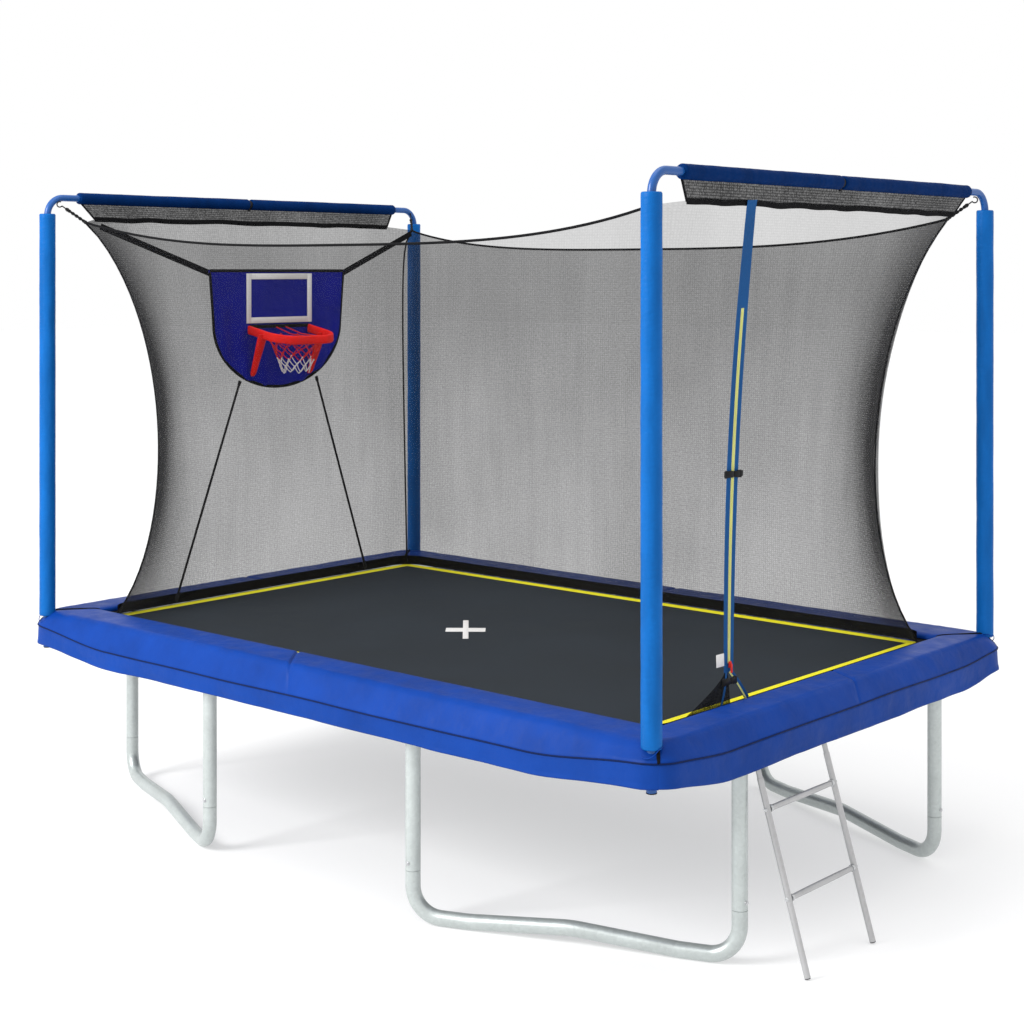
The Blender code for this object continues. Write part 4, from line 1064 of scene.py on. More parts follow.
def pad_section(side, index):
    """Closed ring across one pad: over the crowned top and back along the underside."""
    s = side.samples[index]
    inner = side.inner[index]
    outer, normal = side.outer[index]
    seam = side.seam_height(s)
    valley = 0.32 if abs(s - 0.5) < 0.25 else 0.20
    fullness = 1 - valley * math.exp(-(side.gap(s) / 0.011) ** 2)
    top = []
    low = []
    for v in PAD_STEPS:
        ground = inner.lerp(outer, v) + normal * (0.002 * v)
        crown = pad_crown(v) * fullness
        wrinkle = ripple((ground.x, ground.y, side.seed), 5.0, side.seed) * 0.0022
        wrinkle += ripple((ground.x * 2.5, ground.y, 0), 11.0, side.seed + 9) * 0.0011
        pucker = math.sin(ground.x * 2 * math.pi / 0.036 + 5 * ripple(ground, 3.0, side.seed))
        near_seam = math.exp(-((1 - v) / 0.12) ** 2)
        rise = crown + (wrinkle * min(1.0, 6 * v * (1 - v)) + pucker * 0.0012 * near_seam) * fullness
        top.append(Vector((ground.x, ground.y, pad_base(v, seam) + max(rise, 0.0))))
        drop = smooth_step((v - 0.80) / 0.20) * (PAD_UNDERSIDE - seam + 0.001)
        low.append(Vector((ground.x, ground.y, PAD_UNDERSIDE - drop)))
    return [to_side(p, side.kind, side.sign) for p in top + low[::-1]]


def trim_mitre(side, ring, index):
    """Pull the pad's end back from the mitre by half of the gap."""
    s = side.samples[index]
    if 0 < s < 1:
        return ring
    direction = 1 if s == 0 else -1
    shift = to_side(Vector((direction * PAD_MITRE_GAP, 0, 0)), side.kind, 1) - place(0, 0, 0)
    return [p + shift for p in ring]


def pad_top(v, fullness):
    """Height of a pad's top near its ends, at a share of its width."""
    return pad_base(v, SEAM_Z) + pad_crown(v) * fullness


def build_pole_collars():
    """Bound edge of the hole that each sleeved pole passes through."""
    rings = []
    for _, sx, sy in QUARTERS:
        ring = []
        for k in range(41):
            turn = 2 * math.pi * k / 40
            x = POLE_X * sx + (SLEEVE_RADIUS + 0.0010) * math.cos(turn)
            y = POLE_Y * sy + (SLEEVE_RADIUS + 0.0010) * math.sin(turn)
            away = max(0.0, (abs(y) - PAD_INNER_Y) / (PAD_OUTER_Y - PAD_INNER_Y),
                       (abs(x) - PAD_INNER_X) / (PAD_OUTER_X - PAD_INNER_X))
            ring.append(place(x, y, pad_top(min(away, 1.0), 0.85)))
        rings.append(sweep(ring, 0.0018, 8))
    add_piece("pole_hole_bindings", merge(rings), SKIRT_BLUE)


def build_mitre_painted_shadow_cords():
    """Black cords along the pads' mitred ends: painted shadow standing in for the dark gap between pads."""
    cords = []
    for _, sx, sy in QUARTERS:
        inner = Vector((PAD_INNER_X, PAD_INNER_Y, 0))
        corner, _ = corner_point(PAD_OUTER_X, PAD_OUTER_Y, math.radians(45))
        line = []
        for k in range(25):
            v = k / 24
            p = inner.lerp(corner, v)
            line.append(place(p.x * sx, p.y * sy, pad_top(v, 0.80) + 0.0005))
        cords.append(sweep(line, 0.0070, 8))
    # painted shadow: a black cord laid in the gap between two pads
    add_piece("mitre_painted_shadow_cords", merge(cords), WEBBING)


def build_pad(side):
    """One padded side: crowned cushion, dark piping along its outer seam (partly dark stitching, partly
    painted shade of the seam's shadow line) and stitched cross seam.
    """
    rings = [trim_mitre(side, pad_section(side, index), index) for index in range(len(side.samples))]
    pad = add_piece("pad_cushion_" + side.label, skin(rings), PAD_BLUE,
                    replaces=["pad_" + side.label], sharp=50)
    piping = []
    for s, (outer, normal) in zip(side.samples, side.outer):
        point = outer + normal * 0.0035
        piping.append(to_side(Vector((point.x, point.y, side.seam_height(s))), side.kind, side.sign))
    # dark piping: partly stitching, partly painted shade of the seam's shadow line
    add_piece("pad_piping_" + side.label, sweep(piping[1:-1], 0.0030, 8), PIPING_SEAM_SHADE)


def build_skirt(side):
    """Cloth skirt that hangs from the outer seam in shallow waves, with a folded hem."""
    rows = 12
    lines = []
    for s, (outer, normal) in zip(side.samples, side.outer):
        top = side.seam_height(s) - 0.001
        bottom = SKIRT_CORNER_Z + (SKIRT_MIDDLE_Z - SKIRT_CORNER_Z) * side.dip(s)
        bottom += 0.006 * ripple((s * side.length, 4.0, 0), 2.0, side.seed + 4)
        column = []
        for r in range(rows + 1):
            t = r / rows
            wave = ripple((s * side.length, t * 0.12, 0), 3.6, side.seed) * 0.011
            wave += ripple((s * side.length, t * 0.3, 0), 10.0, side.seed + 2) * 0.0035
            hem = 0.0012 if t > 0.84 else 0.0
            push = 0.0015 + (wave + 0.0035) * t * min(1.0, min(s, 1 - s) * side.length / 0.05) + hem
            point = outer + normal * min(push, 0.012)
            column.append(to_side(Vector((point.x, point.y, top + (bottom - top) * t)),
                                  side.kind, side.sign))
        lines.append(column)
    points = [p for column in lines for p in column]
    faces = grid_faces(len(lines), rows + 1)
    skirt = add_piece("pad_skirt_" + side.label, (points, faces), SKIRT_BLUE,
                      None if side.label == "right" else "frame", sharp=60)
    thickness = skirt.modifiers.new("thickness", "SOLIDIFY")
    thickness.thickness = 0.0014
    thickness.offset = -1.0
    if side.label == "right":
        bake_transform(skirt)


def build_pads():
    """All four pads with their skirts, black mitre cords as painted shadow of the gaps between pads, and
    the holes for the poles.
    """
    sides = (PadSide("front", "long", -1, -0.25, -0.02, 3.0), PadSide("back", "long", 1, 0.1, 0.1, 13.0),
             PadSide("left", "short", -1, 0.0, 0.0, 23.0), PadSide("right", "short", 1, 0.15, 0.02, 33.0))
    for side in sides:
        build_pad(side)
        build_skirt(side)
    build_mitre_painted_shadow_cords()
    build_pole_collars()


# ---------------------------------------------------------------- safety net

def net_loops():
    """Bottom and top points of the net, column by column."""
    bottom = []
    top = []
    straight_x = NET_BOTTOM_X - NET_CORNER
    straight_y = NET_BOTTOM_Y - NET_CORNER
    tie = Vector(NET_TOP_CORNER)
    band = Vector(NET_BAND)
    hem = Vector(HEM_END)
    for quarter in range(4):
        short = quarter % 2 == 0
        sign = 1 if quarter < 2 else -1
        count = NET_SHORT_COLUMNS if short else NET_LONG_COLUMNS
        for k in range(count + 1):
            t = -1 + 2 * k / count
            if short:
                bottom.append((NET_BOTTOM_X * sign, straight_y * t * sign, NET_BOTTOM_Z))
                top.append((NET_BAND[0] * sign, NET_BAND[1] * t * sign, NET_BAND[2]))
            else:
                sag = 1 - abs(t) ** HEM_SAG_POWER
                bottom.append((-straight_x * t * sign, NET_BOTTOM_Y * sign, NET_BOTTOM_Z))
                top.append((-HEM_END[0] * t * sign, (HEM_END[1] - HEM_PULL * sag) * sign,
                            HEM_END[2] - HEM_SAG * sag))
        sx = 1 if quarter in (0, 3) else -1
        sy = 1 if quarter in (0, 1) else -1
        before, after = (band, hem) if short else (hem, band)
        for k in range(1, NET_CORNER_COLUMNS + 1):
            share = k / (NET_CORNER_COLUMNS + 1)
            angle = math.radians(90 * (quarter + share))
            bottom.append((straight_x * sx + NET_CORNER * math.cos(angle),
                           straight_y * sy + NET_CORNER * math.sin(angle), NET_BOTTOM_Z))
            turn = 2 * share - 1
            high = tie.lerp(before if turn < 0 else after, abs(turn))
            top.append((high.x * sx, high.y * sy, high.z))
    return np.array(bottom), np.array(top)


def relaxed_net():
    """Grid of net points: a sheet without stiffness stretched between its two loops."""
    bottom, top = net_loops()
    share = np.linspace(0, 1, NET_ROWS + 1)[:, None, None]
    grid = bottom[None] * (1 - share) + top[None] * share
    lengths = np.linalg.norm(np.roll(bottom, -1, axis=0) - bottom, axis=1)
    height = (NET_BAND[2] - NET_BOTTOM_Z) / NET_ROWS
    ahead = (height / lengths)[None, :, None] * NET_TENSION
    behind = np.roll(ahead, 1, axis=1)
    width = ((lengths + np.roll(lengths, 1)) / 2 / height)[None, :, None]
    level = grid[:, :, 2].copy()
    for _ in range(NET_RELAX_STEPS):
        inner = grid[1:-1]
        pulled = np.roll(inner, -1, axis=1) * ahead + np.roll(inner, 1, axis=1) * behind
        pulled += (grid[2:] + grid[:-2]) * width
        grid[1:-1] = pulled / (ahead + behind + 2 * width)
    grid[:, :, 2] = level
    return grid, lengths


def corner_middles():
    """Column in the middle of each rounded corner, which carries a corner seam."""
    middles = []
    for quarter in range(4):
        shorts = quarter // 2 + 1
        longs = (quarter + 1) // 2
        middles.append(shorts * (NET_SHORT_COLUMNS + 1) + longs * (NET_LONG_COLUMNS + 1)
                       + quarter * NET_CORNER_COLUMNS + NET_CORNER_COLUMNS // 2)
    return middles


GRID, COLUMN_LENGTHS = relaxed_net()
COLUMNS = GRID.shape[1]
CORNER_MIDDLES = corner_middles()
NET_SPANS = {"right": (CORNER_MIDDLES[3] - COLUMNS, CORNER_MIDDLES[0]),
             "back": (CORNER_MIDDLES[0], CORNER_MIDDLES[1]),
             "left": (CORNER_MIDDLES[1], CORNER_MIDDLES[2]),
             "front": (CORNER_MIDDLES[2], CORNER_MIDDLES[3])}


def net_point(row, column):
    """Point of the net in the frame's coordinates."""
    x, y, z = GRID[row, column % COLUMNS]
    return place(float(x), float(y), float(z))


def net_normal(row, column):
    """Outward normal of the net."""
    sideways = net_point(row, column + 1) - net_point(row, column - 1)
    upward = net_point(min(row + 1, NET_ROWS), column) - net_point(max(row - 1, 0), column)
    return sideways.cross(upward).normalized()


def net_panel(name, first, last, material, ends):
    """One side of the net from corner seam to corner seam, pleated where it is gathered."""
    columns = list(range(first, last + 1))
    positions = [0.0]
    for column in columns[:-1]:
        positions.append(positions[-1] + float(COLUMN_LENGTHS[column % COLUMNS]))
    total = positions[-1]
    verts = []
    uv = []
    closeness = []
    for row in range(NET_ROWS + 1):
        for column, position in zip(columns, positions):
            point = net_point(row, column)
            normal = net_normal(row, column)
            level = row / NET_ROWS
            gather = ends[0] * math.exp(-(position / NET_GATHER_REACH) ** 2)
            gather += ends[1] * math.exp(-((total - position) / NET_GATHER_REACH) ** 2)
            gather *= 0.45 + 0.55 * math.sin(math.pi * level)
            pleat = 0.004 * gather * math.sin(position * 2 * math.pi / 0.05)
            billow = 0.010 * ripple((position, point.z, 0.0), 1.6, len(name)) * \
                math.sin(math.pi * level)
            if row in (0, NET_ROWS):
                pleat = 0.0
            verts.append(point + normal * (pleat + billow))
            uv.append((position, point.z))
            closeness.append(gather)
    faces = grid_faces(NET_ROWS + 1, len(columns))
    panel = add_piece(name, (verts, faces), material, uv=uv, sharp=180)
    layer = panel.data.attributes.new("gather", "FLOAT", "POINT")
    layer.data.foreach_set("value", closeness)
    return panel, total


def build_net():
    """Four mesh panels, corner seams, hems, the flaps under the two top bars and the corner ties."""
    for label, material, ends in (("right", NET_NEAR, (0.1, 0.8)), ("back", NET_FAR, (0.8, 0.1)),
                                  ("left", NET_FAR, (0.1, 0.9)), ("front", NET_NEAR, (0.9, 0.1))):
        panel, width = net_panel("net_panel_" + label, *NET_SPANS[label], material, ends)
        if label == "right":
            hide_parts("safety_net")
    seams = []
    for column in CORNER_MIDDLES:
        line = [net_point(row, column) + net_normal(row, column) * 0.002
                for row in range(NET_ROWS + 1)]
        seams.append(sweep(line, 0.0045, 8))
    add_piece("net_corner_seams", merge(seams), HEM_BLACK)
    build_net_hems()
    build_flaps()
    build_corner_ties()


def build_net_hems():
    """Sagging top hems of the long sides, the bands along the net's foot and its flat skirt."""
    for label in ("back", "front"):
        first, last = NET_SPANS[label]
        line = [net_point(NET_ROWS, c) for c in range(first, last + 1)]
        add_piece("net_top_hem_" + label, sweep(line, 0.0055, 10), HEM_BLACK)
    for label, height in (("right", 0.014), ("back", 0.050), ("left", 0.050), ("front", 0.014)):
        first, last = NET_SPANS[label]
        middle = Vector((0, 0, height / 2 - NET_FOOT_DROP))
        low = [net_point(0, c) + middle for c in range(first, last + 1)]
        shape = ribbon(low, [Vector((0, 0, 1))] * len(low), height, 0.0022)
        add_piece("net_foot_band_" + label, shape, HEM_BLACK)
    rings = []
    up = Vector((0, 0, 0.0007))
    for c in range(COLUMNS):
        out = net_normal(0, c)
        out.z = 0
        out.normalize()
        inner = net_point(0, c) - out * 0.001 - Vector((0, 0, 0.0012))
        reach = (NET_CORNER + NET_SKIRT) / max(abs(out.x), abs(out.y)) - NET_CORNER
        outer = inner + out * reach
        rings.append([inner - up, outer - up, outer + up, inner + up])
    add_piece("net_foot_skirt", skin(rings, closed=True), HEM_BLACK)


def build_flaps():
    """Pleated mesh between each top bar and the net, with the black band along its foot."""
    rows = 6
    for label, sx in (("right", 1), ("left", -1)):
        verts = []
        uv = []
        for r in range(rows + 1):
            t = r / rows
            for k in range(FLAP_STEPS + 1):
                y = NET_BAND[1] * FLAP_LENGTH * (2 * k / FLAP_STEPS - 1)
                fold = math.sin(y * 2 * math.pi / 0.055 + 3 * ripple((y, sx, 0), 2.0, 7.0))
                ragged = 0.007 * ripple((y, sx, 4.0), 6.0, 5.0) * t
                x = FLAP_TOP[0] + (NET_BAND[0] - FLAP_TOP[0]) * t + 0.004 * fold * (1 - 0.4 * t)
                z = FLAP_TOP[1] + (NET_BAND[2] - FLAP_TOP[1]) * t + ragged
                verts.append(place(x * sx, y * (1 - 0.06 * t), z))
                uv.append((y * 1.4, z))
        shape = (verts, grid_faces(rows + 1, FLAP_STEPS + 1))
        flap = add_piece("net_flap_" + label, shape, NET_DENSE, uv=uv, sharp=180)
        band = [Vector(verts[rows * (FLAP_STEPS + 1) + k]) for k in range(0, FLAP_STEPS + 1, 2)]
        edges = [ribbon(band, [Vector((0, 0, 1))] * len(band), 0.024, 0.003)]
        for end in (0, FLAP_STEPS):
            hem = [Vector(verts[r * (FLAP_STEPS + 1) + end]) for r in range(rows + 1)]
            edges.append(ribbon(hem, [Vector((0, 1, 0))] * len(hem), 0.012, 0.003))
        add_piece("net_band_" + label, merge(edges), HEM_BLACK)


def build_corner_ties():
    """Twisted elastic ties with a hook from the four net corners to the arch bends."""
    elastics = []
    hooks = []
    for _, sx, sy in QUARTERS:
        tie = place(NET_TOP_CORNER[0] * sx, NET_TOP_CORNER[1] * sy, NET_TOP_CORNER[2])
        anchor = place(TIE_ANCHOR[0] * sx, TIE_ANCHOR[1] * sy, TIE_ANCHOR[2])
        step = (anchor - tie).normalized()
        across = step.cross(Vector((0, 0, 1))).normalized()
        rise = across.cross(step)
        middle = tie.lerp(anchor, 0.70)
        for phase in (0.0, math.pi):
            strand = []
            for k in range(25):
                turn = phase + 5.0 * math.pi * k / 24
                strand.append(tie.lerp(middle, k / 24) + across * (0.004 * math.cos(turn))
                              + rise * (0.004 * math.sin(turn)))
            elastics.append(sweep(strand, 0.0042, 8))
        for knot in (tie, middle):
            elastics.append(sweep([knot - step * 0.010, knot, knot + step * 0.010],
                                  [0.006, 0.0095, 0.006], 10))
        hooks.append(sweep([middle, anchor - step * 0.012], 0.0030, 10))
        loop = [anchor + step * (0.013 * math.cos(a)) + rise * (0.013 * math.sin(a))
                for a in (math.pi + 4.6 * k / 16 for k in range(17))]
        hooks.append(sweep(loop, 0.0030, 10))
    add_piece("corner_elastics", merge(elastics), ELASTIC)
    add_piece("corner_hooks", merge(hooks), BLACK_PLASTIC)


# ---------------------------------------------------------------- zip door

def door_place(z):
    """Point, sideways, up and out directions of the door line at a height."""
    if z > NET_BAND[2]:
        point, side, up, out = door_place(NET_BAND[2] - 0.001)
        return point + Vector((0.30 * (z - NET_BAND[2]), 0, z - NET_BAND[2])), side, up, out
    rows = [float(GRID[row, DOOR_COLUMN, 2]) for row in range(NET_ROWS + 1)]
    row = max(0, min(NET_ROWS - 1, sum(1 for value in rows if value <= z) - 1))
    share = (z - rows[row]) / (rows[row + 1] - rows[row])
    point = net_point(row, DOOR_COLUMN).lerp(net_point(row + 1, DOOR_COLUMN), share)
    side = (net_point(row, DOOR_COLUMN + 1) - net_point(row, DOOR_COLUMN - 1)).normalized()
    out = net_normal(row, DOOR_COLUMN).lerp(net_normal(row + 1, DOOR_COLUMN), share).normalized()
    return point, side, out.cross(side).normalized(), out


def door_ribbon(low, high, offset, width, thickness, steps=60):
    """Strap that follows the door line between two heights."""
    points = []
    across = []
    for k in range(steps + 1):
        point, side, _, out = door_place(low + (high - low) * k / steps)
        points.append(point + out * offset)
        across.append(side)
    return ribbon(points, across, width, thickness)


def zip_teeth(low, high, offset):
    """Row of small moulded teeth."""
    teeth = []
    count = int((high - low) / (0.0055))
    for k in range(count):
        point, side, up, out = door_place(low + (high - low) * k / count)
        shift = side * (0.0016 if k % 2 else -0.0016)
        teeth.append(slab(point + out * offset + shift, side, up, out, (0.0030, 0.0019, 0.0011)))
    return merge(teeth)


def build_door():
    """Door strip with zip tape and teeth, spread tails below it, and the mesh overlap."""
    low = SLIDER_Z - STRIP_BELOW_SLIDER
    shape = door_ribbon(low, STRIP_TOP, STRIP_OFFSET, STRIP_WIDTH, STRIP_THICKNESS)
    strip = add_piece("door_webbing", shape, STRIP_BLUE, replaces=["door_strip"])
    tape = door_ribbon(SLIDER_Z + 0.004, ZIP_TOP, STRIP_OFFSET + 0.0016, 0.016, 0.0010)
    add_piece("zip_tape", tape, ZIP_YELLOW)
    teeth = zip_teeth(SLIDER_Z + 0.010, ZIP_TOP - 0.010, STRIP_OFFSET + 0.0026)
    add_piece("zip_teeth", teeth, ZIP_YELLOW)
    build_door_tails()
    build_slider_and_buckles()


def build_door_tails():
    """Lower ends of the open zip and the triangular mesh overlap beside them."""
    start, side, _, out = door_place(SLIDER_Z - STRIP_BELOW_SLIDER + 0.002)
    for label, shift, width in (("right", 0.012, 0.026), ("left", -0.014, 0.012)):
        foot = place(NET_BOTTOM_X + 0.010, TAIL_FEET[label], NET_BOTTOM_Z + 0.006)
        head = start + out * STRIP_OFFSET + side * shift
        path = [head.lerp(foot, t) + out * (0.004 * math.sin(math.pi * t))
                for t in (k / 10 for k in range(11))]
        add_piece("door_tail_" + label, ribbon(path, [side] * 11, width, 0.002), STRIP_BLUE)
        if label == "right":
            inner = [p + out * 0.0016 - side * (shift * 0.75) for p in path]
            add_piece("zip_tail_right", ribbon(inner, [side] * 11, 0.009, 0.001), ZIP_YELLOW)
    rows = 10
    columns = 8
    verts = []
    uv = []
    for r in range(rows + 1):
        t = r / rows
        left = Vector((0, -0.022, 0)).lerp(Vector((0, -0.300, 0)), t ** 1.35)
        for k in range(columns + 1):
            s = k / columns
            base = start.lerp(place(NET_BOTTOM_X, OVERLAP_FOOT_Y, NET_BOTTOM_Z + 0.004), t)
            point = base + left * s + out * (0.003 + 0.006 * math.sin(s * 9.0) * t)
            verts.append(point)
            uv.append((float(point.y), float(point.z)))
    overlap = add_piece("door_overlap", (verts, grid_faces(rows + 1, columns + 1)), NET_DENSE,
                        uv=uv, sharp=180)


def buckle_shapes(z):
    """Socket and plug of one side-release buckle, with their webbing."""
    point, side, up, out = door_place(z)
    socket_at = point + out * (STRIP_OFFSET + 0.007) - side * 0.021
    socket = merge([slab(socket_at, side, up, out, (0.020, 0.0125, 0.0060), 0.003),
                    slab(socket_at - side * 0.018, side, up, out, (0.006, 0.0145, 0.0045), 0.002),
                    ribbon(along(socket_at - side * 0.024 - out * 0.004,
                                 socket_at - side * 0.012 - out * 0.006, 4), [up] * 4, 0.022, 0.002)])
    plug_at = point + out * (STRIP_OFFSET + 0.0080) + side * 0.0205
    catches = [slab(plug_at + side * 0.004 + up * rise, side, up, out, (0.007, 0.0018, 0.003), 0.001)
               for rise in (0.0125, -0.0125)]
    plug = merge([slab(plug_at - side * 0.004, side, up, out, (0.0155, 0.0115, 0.0044), 0.002),
                  slab(plug_at + side * 0.014, side, up, out, (0.0055, 0.0145, 0.0048), 0.002),
                  *catches,
                  ribbon(along(plug_at + side * 0.010 - out * 0.0046,
                               plug_at + side * 0.032 - out * 0.0050, 4), [up] * 4, 0.022, 0.002)])
    return socket, plug


def build_slider_and_buckles():
    """Zip slider with its pull, and the two buckles across the door."""
    point, side, up, out = door_place(SLIDER_Z)
    centre = point + out * (STRIP_OFFSET + 0.0070)
    body = merge([slab(centre, side, up, out, (0.0085, 0.012, 0.0028), 0.002),
                  slab(centre + out * 0.004, side, up, out, (0.0030, 0.008, 0.0022), 0.001),
                  slab(centre + out * 0.0065 - up * 0.014, side, up, out,
                       (0.0065, 0.0170, 0.0014), 0.001)])
    add_piece("slider_body", body, RED_ENAMEL, "zip", ["zip_slider"])
    for label, z in zip(("low", "high"), BUCKLE_Z):
        socket, plug = buckle_shapes(z)
        add_piece("buckle_socket_" + label, socket, BLACK_PLASTIC)
        add_piece("buckle_plug_" + label, plug, BLACK_PLASTIC, "buckle_" + label,
                  ["door_buckle_" + label])
    point, side, up, out = door_place(TAG_Z)
    tag_at = point + out * (STRIP_OFFSET + 0.001) - side * TAG_SHIFT
    tag = slab(tag_at, side, up, out, (0.024, 0.024, 0.0006), 0.0003)
    add_piece("plain_tag", tag, WHITE_TAPE)


# ---------------------------------------------------------------- basketball hoop

def board_half_width(drop):
    """Half-width of the board at a share of its height below the top edge."""
    if drop < BOARD_STRAIGHT:
        return BOARD_HALF_WIDTH * (1 - BOARD_TAPER * drop / BOARD_STRAIGHT)
    share = (drop - BOARD_STRAIGHT) / (1 - BOARD_STRAIGHT)
    return BOARD_HALF_WIDTH * (1 - BOARD_TAPER) * math.sqrt(max(0.0, 1 - share ** 2))


def board_edge(count):
    """Points round the board's edge in the plane of the board, as (across, height)."""
    right = []
    for k in range(count + 1):
        drop = math.sin(math.pi / 2 * k / count) if k else 0.0
        right.append((board_half_width(drop), BOARD_TOP_Z - BOARD_HEIGHT * drop))
    return right + [(-w, z) for w, z in right[-2::-1]]


def board_bulge(y, z):
    """How far the cloth of the board stands off its plane: soft upright folds."""
    fold = math.sin(y * 2 * math.pi / 0.135 + 2.2 * ripple((y, z, 0), 2.0, 3.0))
    low = smooth_step((BOARD_TOP_Z - z) / BOARD_HEIGHT * 1.4)
    return 0.0085 * fold * low * abs(y / BOARD_HALF_WIDTH) ** 0.5 + 0.004 * ripple((y, z, 1), 4.0, 9.0)


def build_board():
    """Cloth backboard with folds, black binding and the white target frame."""
    rows = 34
    columns = 56
    front = []
    back = []
    for r in range(rows + 1):
        drop = min(0.9995, math.sin(math.pi / 2 * r / rows))
        half = max(board_half_width(drop), 0.012)
        z = BOARD_TOP_Z - BOARD_HEIGHT * drop
        for k in range(columns + 1):
            y = half * (2 * k / columns - 1)
            edge = min(1.0, (half - abs(y)) / 0.04, (BOARD_TOP_Z - z) / 0.05,
                       (1 - drop) * BOARD_HEIGHT / 0.04)
            bulge = board_bulge(y, z) * edge
            front.append(place(BOARD_X + 0.0018 + bulge, y, z))
            back.append(place(BOARD_X - 0.0018 + bulge, y, z))
    board = add_piece("board_cloth", thick_sheet(front, back, rows + 1, columns + 1), BOARD_INDIGO,
                      "hoop", ["hoop_backboard"], sharp=60)
    build_board_trim()


def build_board_trim():
    """Binding round the edge, white target frame and the black strip below it."""
    edge = [place(BOARD_X, y, z) for y, z in board_edge(60)]
    edge.append(edge[0])
    inward = [(place(BOARD_X, 0.0, BOARD_TOP_Z - 0.24) - p).normalized() for p in edge]
    path = [p + n * 0.007 for p, n in zip(edge, inward)]
    add_piece("board_binding", ribbon(path, inward, 0.017, 0.0075), HEM_BLACK, "hoop")
    face = BOARD_X + 0.0052
    left, right = (-TARGET_HALF_WIDTH, TARGET_HALF_WIDTH)
    top, foot = (BOARD_TOP_Z - drop for drop in TARGET_DROPS)
    band = TARGET_BAND
    bars = []
    for low, high in (((left, foot), (left + band, top)), ((right - band, foot), (right, top)),
                      ((left + band, foot), (right - band, foot + band)),
                      ((left + band, top - band), (right - band, top))):
        centre = place(face, (low[0] + high[0]) / 2, (low[1] + high[1]) / 2)
        bars.append(slab(centre, Vector((0, 1, 0)), Vector((0, 0, 1)), Vector((1, 0, 0)),
                         ((high[0] - low[0]) / 2, (high[1] - low[1]) / 2, 0.0022), 0.0004))
    add_piece("board_frame", merge(bars), WHITE_TAPE, "hoop", sharp=60)
    strip = slab(place(face, 0.0, BOARD_TOP_Z - 0.290), Vector((0, 1, 0)), Vector((0, 0, 1)),
                 Vector((1, 0, 0)), (0.200, 0.009, 0.0018), 0.0006)
    add_piece("board_strip", strip, HEM_BLACK, "hoop")


def rim_line():
    """Centre line of the rim band from one board end round the front to the other."""
    corners = [place(RIM_X, -RIM_HALF_WIDTH, 0), place(RIM_X + RIM_DEPTH, -RIM_HALF_WIDTH, 0),
               place(RIM_X + RIM_DEPTH, RIM_HALF_WIDTH, 0), place(RIM_X, RIM_HALF_WIDTH, 0)]
    flat = fillet_path(corners, [RIM_BEND, RIM_BEND], 14)
    path = []
    for a, b in zip(flat[:-1], flat[1:]):
        pieces = max(1, int((b - a).length / 0.02))
        path += [a.lerp(b, k / pieces) for k in range(pieces)]
    path.append(flat[-1])
    for p in path:
        share = (p.x - MID_X - RIM_X) / RIM_DEPTH
        p.z = RIM_Z - RIM_DROP * share
    return path


def build_rim():
    """Padded red rim band and its two tapering struts."""
    path = rim_line()
    _, axes = path_axes([Vector((p.x, p.y, 0)) for p in path])
    rings = []
    for p, (tangent, _, _) in zip(path, axes):
        out = Vector((tangent.y, -tangent.x, 0))
        puff = 1 + 0.05 * ripple(p, 22.0, 3.0)
        ring = []
        for turn in full_turn(16):
            a = math.copysign(abs(math.cos(turn)) ** 0.55, math.cos(turn)) * 0.0105 * puff
            b = math.copysign(abs(math.sin(turn)) ** 0.45, math.sin(turn)) * 0.0225 * puff
            ring.append(p + out * a + Vector((0, 0, b)))
        rings.append(ring)
    shapes = [skin(rings)]
    for sy in (-1, 1):
        top = place(RIM_X + RIM_DEPTH * 0.42, (RIM_HALF_WIDTH - 0.002) * sy, RIM_Z - RIM_DROP * 0.42)
        low = place(RIM_X + 0.014, (RIM_HALF_WIDTH - 0.010) * sy, BOARD_TOP_Z - 0.545)
        rings = []
        for t in (0.0, 0.15, 0.4, 0.7, 0.93, 1.0):
            centre = top.lerp(low, t)
            wide = (0.030 + (0.018 - 0.030) * t) * (0.55 if t == 1.0 else 1.0)
            deep = 0.020 + (0.010 - 0.020) * t
            rings.append([centre + Vector((deep * 0.8 * math.cos(a), wide * math.sin(a), 0))
                          for a in full_turn(16)])
        shapes.append(skin(rings))
    rim = add_piece("rim_band", merge(shapes), RIM_RED, "hoop", ["hoop_rim"], sharp=70)


